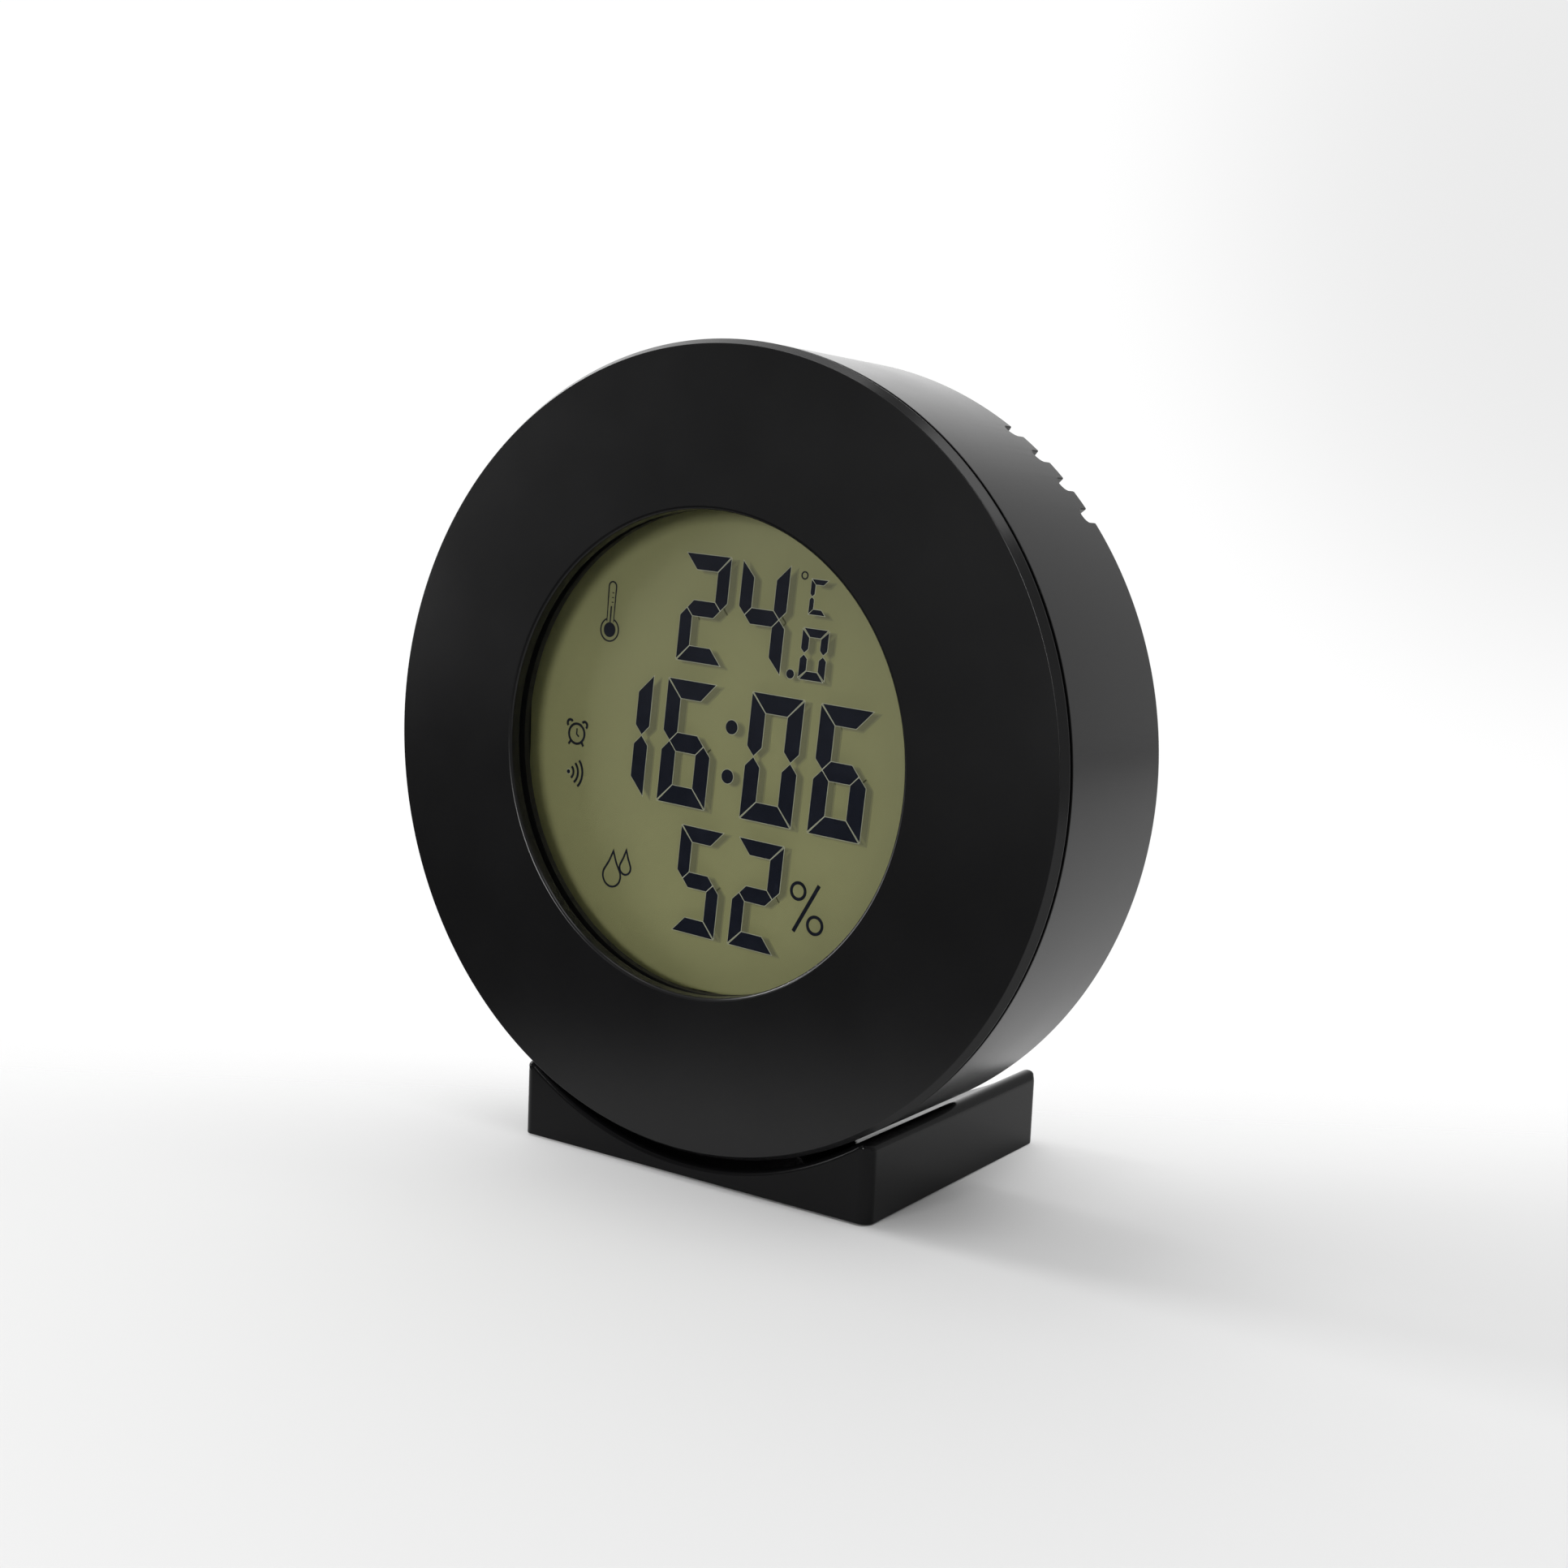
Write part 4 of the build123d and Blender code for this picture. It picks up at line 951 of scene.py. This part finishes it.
# Lines: points, width, closed. First the degree ring and the percent sign.
lines = [
    (disc(11.9, 23.3, 0.42, 20), 0.18, True),
    (disc(15.2, -14.2, 1.0), 0.4, True),
    (disc(18.0, -17.9, 1.05), 0.4, True),
    ([(18.1, -13.0), (15.0, -19.2)], 0.5, False),
]
# Thermometer
TUBE_TOP = arc(-17.0, 18.9, 0.6, 180, 0, 10)
BULB = arc(-17.0, 13.4, 1.45, 65, -245, 24)
lines += [
    ([(-17.55, 14.6)] + TUBE_TOP + [(-16.45, 14.6)] + BULB, 0.2, True),
    ([(-17.0, 14.0), (-17.0, 16.4)], 0.2, False),
]
for k in range(3):
    mark_z = 16.9 + 0.6 * k
    lines.append(([(-17.0, mark_z), (-16.7, mark_z)], 0.12, False))
# Alarm clock
lines += [
    (disc(-21.1, -0.6, 1.3, 28), 0.32, True),
    ([(-21.1, 0.1), (-21.1, -0.65), (-20.7, -0.95)], 0.2, False),
    (arc(-22.3, 0.65, 0.45, 35, 230, 10), 0.34, False),
    (arc(-19.9, 0.65, 0.45, 145, -50, 10), 0.34, False),
    ([(-22.0, -1.6), (-22.35, -2.1)], 0.32, False),
    ([(-20.2, -1.6), (-19.85, -2.1)], 0.32, False),
]
# Radio waves and their dot
lines += [
    (arc(-22.1, -5.7, 0.95, 52, -52, 8), 0.32, False),
    (arc(-22.1, -5.7, 1.7, 48, -48, 10), 0.32, False),
    (arc(-22.1, -5.7, 2.45, 44, -44, 12), 0.32, False),
]
bars.append(disc(-22.0, -5.7, 0.28, 16))
# Water drops
lines += [(drop(-13.5, -17.9, 1.45, -14.7), 0.27, True), (drop(-11.4, -16.5, 0.9, -14.2), 0.27, True)]

ink = Shape()
for polygon in bars:
    plate(ink, polygon, INK_DEPTH)
for points, width, closed in lines:
    ribbon(ink, points, width, INK_DEPTH, closed)
plate(ink, disc(-17.0, 13.4, 0.95, 20), INK_DEPTH)
ink_obj = ink.object("display_print", [display_ink])
ink_obj.visible_shadow = False
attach(ink_obj, "clock")

# Pale edge just behind the ink
PALE_GROWTH = 0.07
PALE_DEPTH = (INK_DEPTH[1] + 0.003, INK_DEPTH[1] + 0.01)
pale = Shape()
for polygon in bars:
    plate(pale, grown(polygon, PALE_GROWTH), PALE_DEPTH)
pale_obj = pale.object("display_print_edge", [display_pale])
pale_obj.visible_shadow = False
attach(pale_obj, "clock")

# Shadows of the figures on the film. Bars that are too narrow to shade anything are left out.
SHADE_SHIFT = (0.3, -0.4)
SHADE_THICKNESS = 0.01
NARROW = 0.7
for shade_film, spread, near in ((display_shade[0], 0.13, 5.485), (display_shade[1], -0.08, 5.472)):
    shadow = Shape()
    for polygon in bars:
        if max(p[0] for p in polygon) - min(p[0] for p in polygon) > NARROW:
            plate(shadow, grown(polygon, spread), (near, near + SHADE_THICKNESS), SHADE_SHIFT)
    shadow_obj = shadow.object(shade_film.name, [shade_film])
    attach(shadow_obj, "clock")

# Carried-over CAD nodes
FINISHES = {
    "window_lens": lens_clear,
    "display_frame": frame_black,
    "display_reflector": display_olive,
    "contact_strips": contact_rubber,
    "circuit_board": board_green,
    "sensor_board": board_green,
    "board_screws": screw_steel,
    "case_screws": screw_steel,
    "base_screws": screw_steel,
    "clock_chip": chip_resin,
    "quartz_crystal": can_metal,
    "capacitor": can_metal,
    "slide_switch": can_metal,
    "push_switches": switch_black,
    "slide_lever": switch_black,
    "contact_bridge": contact_nickel,
    "contact_pair": contact_nickel,
    "sounder_disc": sounder_brass,
    "sounder_ceramic": sounder_white,
    "climate_sensor": sensor_white,
    "antenna_rod": ferrite_grey,
    "antenna_coil": coil_copper,
    "base_pad": pad_rubber,
}
for name in BUTTONS:
    FINISHES["plunger_" + name] = switch_black
for name, material in FINISHES.items():
    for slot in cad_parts[name].material_slots:
        slot.material = material

# Camera, as fitted to the photo. The fit counts in drum radii of 50 mm.
FIT_UNIT = 50
AZIMUTH = radians(34.085)
ELEVATION = radians(7.097)
ROLL = radians(2.451)
DISTANCE = 4.4792 * FIT_UNIT
AIM = Vector((0.2586 * FIT_UNIT, FACE_Y + 1.0, AXIS_Z - 0.0427 * FIT_UNIT))
back = Vector((sin(AZIMUTH) * cos(ELEVATION), -cos(AZIMUTH) * cos(ELEVATION), sin(ELEVATION)))
right = Vector((0, 0, 1)).cross(back).normalized()
up = back.cross(right)
turned_right = right * cos(ROLL) + up * sin(ROLL)
turned_up = up * cos(ROLL) - right * sin(ROLL)
camera_data = bpy.data.cameras.new("camera")
camera_data.lens = 43.335
camera_data.sensor_width = 36.0
camera_data.clip_start = 0.01
camera = bpy.data.objects.new("camera", camera_data)
bpy.context.scene.collection.objects.link(camera)
camera_turn = Matrix((turned_right, turned_up, back)).transposed().to_4x4()
camera.matrix_world = Matrix.Translation((AIM + back * DISTANCE) * MM) @ camera_turn
bpy.context.scene.camera = camera
bpy.context.scene.view_settings.view_transform = "Standard"
bpy.context.scene.cycles.transparent_max_bounces = 32

# Stage. The floor starts just in front of the camera's foot and fades into the white behind the clock.
# Distances are metres in front of the camera, along the floor.
FLOOR_START = 0.035
FADE_START = 0.222
FADE_END = 0.29
FLOOR_LENGTH = 4
FLOOR_SIDE = 3
ahead = Vector((-back.x, -back.y, 0)).normalized()
aside = Vector((-ahead.y, ahead.x, 0))
camera_way = Vector(camera.location).dot(ahead)

floor_material = new_material("floor_white", (0.74, 0.74, 0.74), 0.9, Specular_IOR_Level=0.1)
floor_shader = floor_material.node_tree.nodes["Principled BSDF"]
floor_glow = node(floor_material, "ShaderNodeBsdfTransparent")
floor_rays = node(floor_material, "ShaderNodeLightPath")
floor_where = node(floor_material, "ShaderNodeTexCoord")
floor_way = node(floor_material, "ShaderNodeVectorMath", operation="DOT_PRODUCT")
floor_way.inputs[1].default_value = ahead
floor_fade = node(floor_material, "ShaderNodeMapRange", interpolation_type="SMOOTHSTEP")
floor_fade.inputs["From Min"].default_value = camera_way + FADE_START
floor_fade.inputs["From Max"].default_value = camera_way + FADE_END
floor_seen = node(floor_material, "ShaderNodeMath", operation="MULTIPLY")
floor_mix = node(floor_material, "ShaderNodeMixShader")
link(floor_material, floor_where.outputs["Object"], floor_way.inputs[0])
link(floor_material, floor_way.outputs["Value"], floor_fade.inputs["Value"])
link(floor_material, floor_fade.outputs["Result"], floor_seen.inputs[0])
link(floor_material, floor_rays.outputs["Is Camera Ray"], floor_seen.inputs[1])
link(floor_material, floor_seen.outputs["Value"], floor_mix.inputs["Fac"])
link(floor_material, floor_shader.outputs["BSDF"], floor_mix.inputs[1])
link(floor_material, floor_glow.outputs["BSDF"], floor_mix.inputs[2])

# Past the left and front of the picture the floor lies in the dark, as the room in front does
DUSK_WAY = (-0.55, -0.84, 0)
DUSK_START = 0.03
DUSK_END = 0.11
floor_side = node(floor_material, "ShaderNodeVectorMath", operation="DOT_PRODUCT")
floor_side.inputs[1].default_value = DUSK_WAY
floor_dusk = node(floor_material, "ShaderNodeMapRange", interpolation_type="SMOOTHSTEP")
floor_dusk.inputs["From Min"].default_value = DUSK_START
floor_dusk.inputs["From Max"].default_value = DUSK_END
floor_hidden = node(floor_material, "ShaderNodeMath", operation="MULTIPLY")
floor_unseen = node(floor_material, "ShaderNodeMath", operation="SUBTRACT")
floor_unseen.inputs[0].default_value = 1.0
floor_dark = node(floor_material, "ShaderNodeBsdfDiffuse")
floor_dark.inputs["Color"].default_value = (0.02, 0.02, 0.02, 1)
floor_all = node(floor_material, "ShaderNodeMixShader")
floor_out = floor_material.node_tree.nodes["Material Output"]
link(floor_material, floor_where.outputs["Object"], floor_side.inputs[0])
link(floor_material, floor_side.outputs["Value"], floor_dusk.inputs["Value"])
link(floor_material, floor_rays.outputs["Is Camera Ray"], floor_unseen.inputs[1])
link(floor_material, floor_dusk.outputs["Result"], floor_hidden.inputs[0])
link(floor_material, floor_unseen.outputs["Value"], floor_hidden.inputs[1])
link(floor_material, floor_hidden.outputs["Value"], floor_all.inputs["Fac"])
link(floor_material, floor_mix.outputs["Shader"], floor_all.inputs[1])
link(floor_material, floor_dark.outputs["BSDF"], floor_all.inputs[2])
link(floor_material, floor_all.outputs["Shader"], floor_out.inputs["Surface"])

floor_mesh = bpy.data.meshes.new("floor")
start = ahead * (camera_way + FLOOR_START)
floor_left = start + aside * FLOOR_SIDE
floor_right = start - aside * FLOOR_SIDE
far_end = ahead * FLOOR_LENGTH
floor_mesh.from_pydata(
    [floor_right, floor_left, floor_left + far_end, floor_right + far_end], [], [(3, 2, 1, 0)]
)
floor_mesh.materials.append(floor_material)
floor = bpy.data.objects.new("floor", floor_mesh)
bpy.context.scene.collection.objects.link(floor)

# Light of the room
world = bpy.data.worlds.new("studio")
bpy.context.scene.world = world
world.use_nodes = True
wt = world.node_tree
background = wt.nodes["Background"]
where = wt.nodes.new("ShaderNodeTexCoord")
split = wt.nodes.new("ShaderNodeSeparateXYZ")
wt.links.new(where.outputs["Generated"], split.inputs["Vector"])


def ramp_of(socket, low, high, start, end):
    """Value that goes softly from start to end while the socket goes from low to high."""
    spread = wt.nodes.new("ShaderNodeMapRange")
    spread.interpolation_type = "SMOOTHSTEP"
    spread.inputs["From Min"].default_value = low
    spread.inputs["From Max"].default_value = high
    spread.inputs["To Min"].default_value = start
    spread.inputs["To Max"].default_value = end
    wt.links.new(socket, spread.inputs["Value"])
    return spread.outputs["Result"]


def joined(a, b, operation):
    made = wt.nodes.new("ShaderNodeMath")
    made.operation = operation
    wt.links.new(a, made.inputs[0])
    wt.links.new(b, made.inputs[1])
    return made.outputs["Value"]


# The room is brighter to the left and dimmer overhead, darkens towards the front,
# and has a faint glow at the front right.
level = joined(
    ramp_of(split.outputs["X"], -0.5, 0.1, 0.85, 0.0),
    ramp_of(split.outputs["Z"], 0.5, 1.0, 0.57, 0.31),
    "ADD",
)
kept_light = joined(
    ramp_of(split.outputs["Y"], -0.3, 0.25, 0.12, 1.0),
    ramp_of(split.outputs["Z"], 0.5, 0.95, 0.0, 0.8),
    "MAXIMUM",
)
right_side = joined(
    ramp_of(split.outputs["Y"], -0.3, 0.1, 1.0, 0.0),
    ramp_of(split.outputs["X"], 0.2, 0.7, 0.0, 0.36),
    "MULTIPLY",
)
dome = joined(joined(level, kept_light, "MULTIPLY"), right_side, "ADD")

# What the camera sees of it is white, with a soft grey spot past the upper right corner.
# The spot's place is in pixels of the photo, as the camera fit counts them.
PICTURE_MIDDLE = 966
FOCAL_PIXELS = 2325.66
SPOT = (2150, 200)
SPOT_ANGLE = 18
WHITE = 1.01
GREY = 0.83
spot_right = turned_right * (SPOT[0] - PICTURE_MIDDLE) / FOCAL_PIXELS
spot_up = turned_up * (PICTURE_MIDDLE - SPOT[1]) / FOCAL_PIXELS
toward = wt.nodes.new("ShaderNodeVectorMath")
toward.operation = "DOT_PRODUCT"
wt.links.new(where.outputs["Generated"], toward.inputs[0])
toward.inputs[1].default_value = (spot_right + spot_up - back).normalized()
seen = ramp_of(toward.outputs["Value"], cos(radians(SPOT_ANGLE)), 1.0, WHITE, GREY)
rays = wt.nodes.new("ShaderNodeLightPath")
choose = wt.nodes.new("ShaderNodeMix")
choose.data_type = "FLOAT"
wt.links.new(rays.outputs["Is Camera Ray"], choose.inputs[0])
wt.links.new(dome, choose.inputs[2])
wt.links.new(seen, choose.inputs[3])
wt.links.new(choose.outputs[0], background.inputs["Strength"])
background.inputs["Color"].default_value = (1, 1, 1, 1)


def lamp(name, place, aim, size, power):
    """Soft rectangular lamp: places and size in metres, power in watts."""
    light = bpy.data.lights.new(name, "AREA")
    light.shape = "RECTANGLE"
    light.size = size[0]
    light.size_y = size[1]
    light.energy = power
    obj = bpy.data.objects.new(name, light)
    bpy.context.scene.collection.objects.link(obj)
    obj.location = place
    obj.rotation_mode = "QUATERNION"
    obj.rotation_quaternion = (Vector(aim) - Vector(place)).to_track_quat("-Z", "Y")


lamp("key_lamp", (-0.95, -0.16, 0.55), (0, 0, 0.03), (0.3, 0.3), 3.5)
lamp("left_lamp", (-0.88, -0.47, 0.155), (0, 0, 0.05), (0.3, 0.3), 2.1)
lamp("front_lamp", (-0.09, -0.98, 0.224), (0, 0, 0.05), (0.3, 0.3), 3.9)
lamp("top_lamp", (-0.2, -0.02, 1.0), (0, 0, 0.05), (0.35, 0.35), 1.3)
lamp("rim_lamp", (0.38, -0.1, 0.88), (0, 0, 0.05), (0.8, 0.45), 3.2)
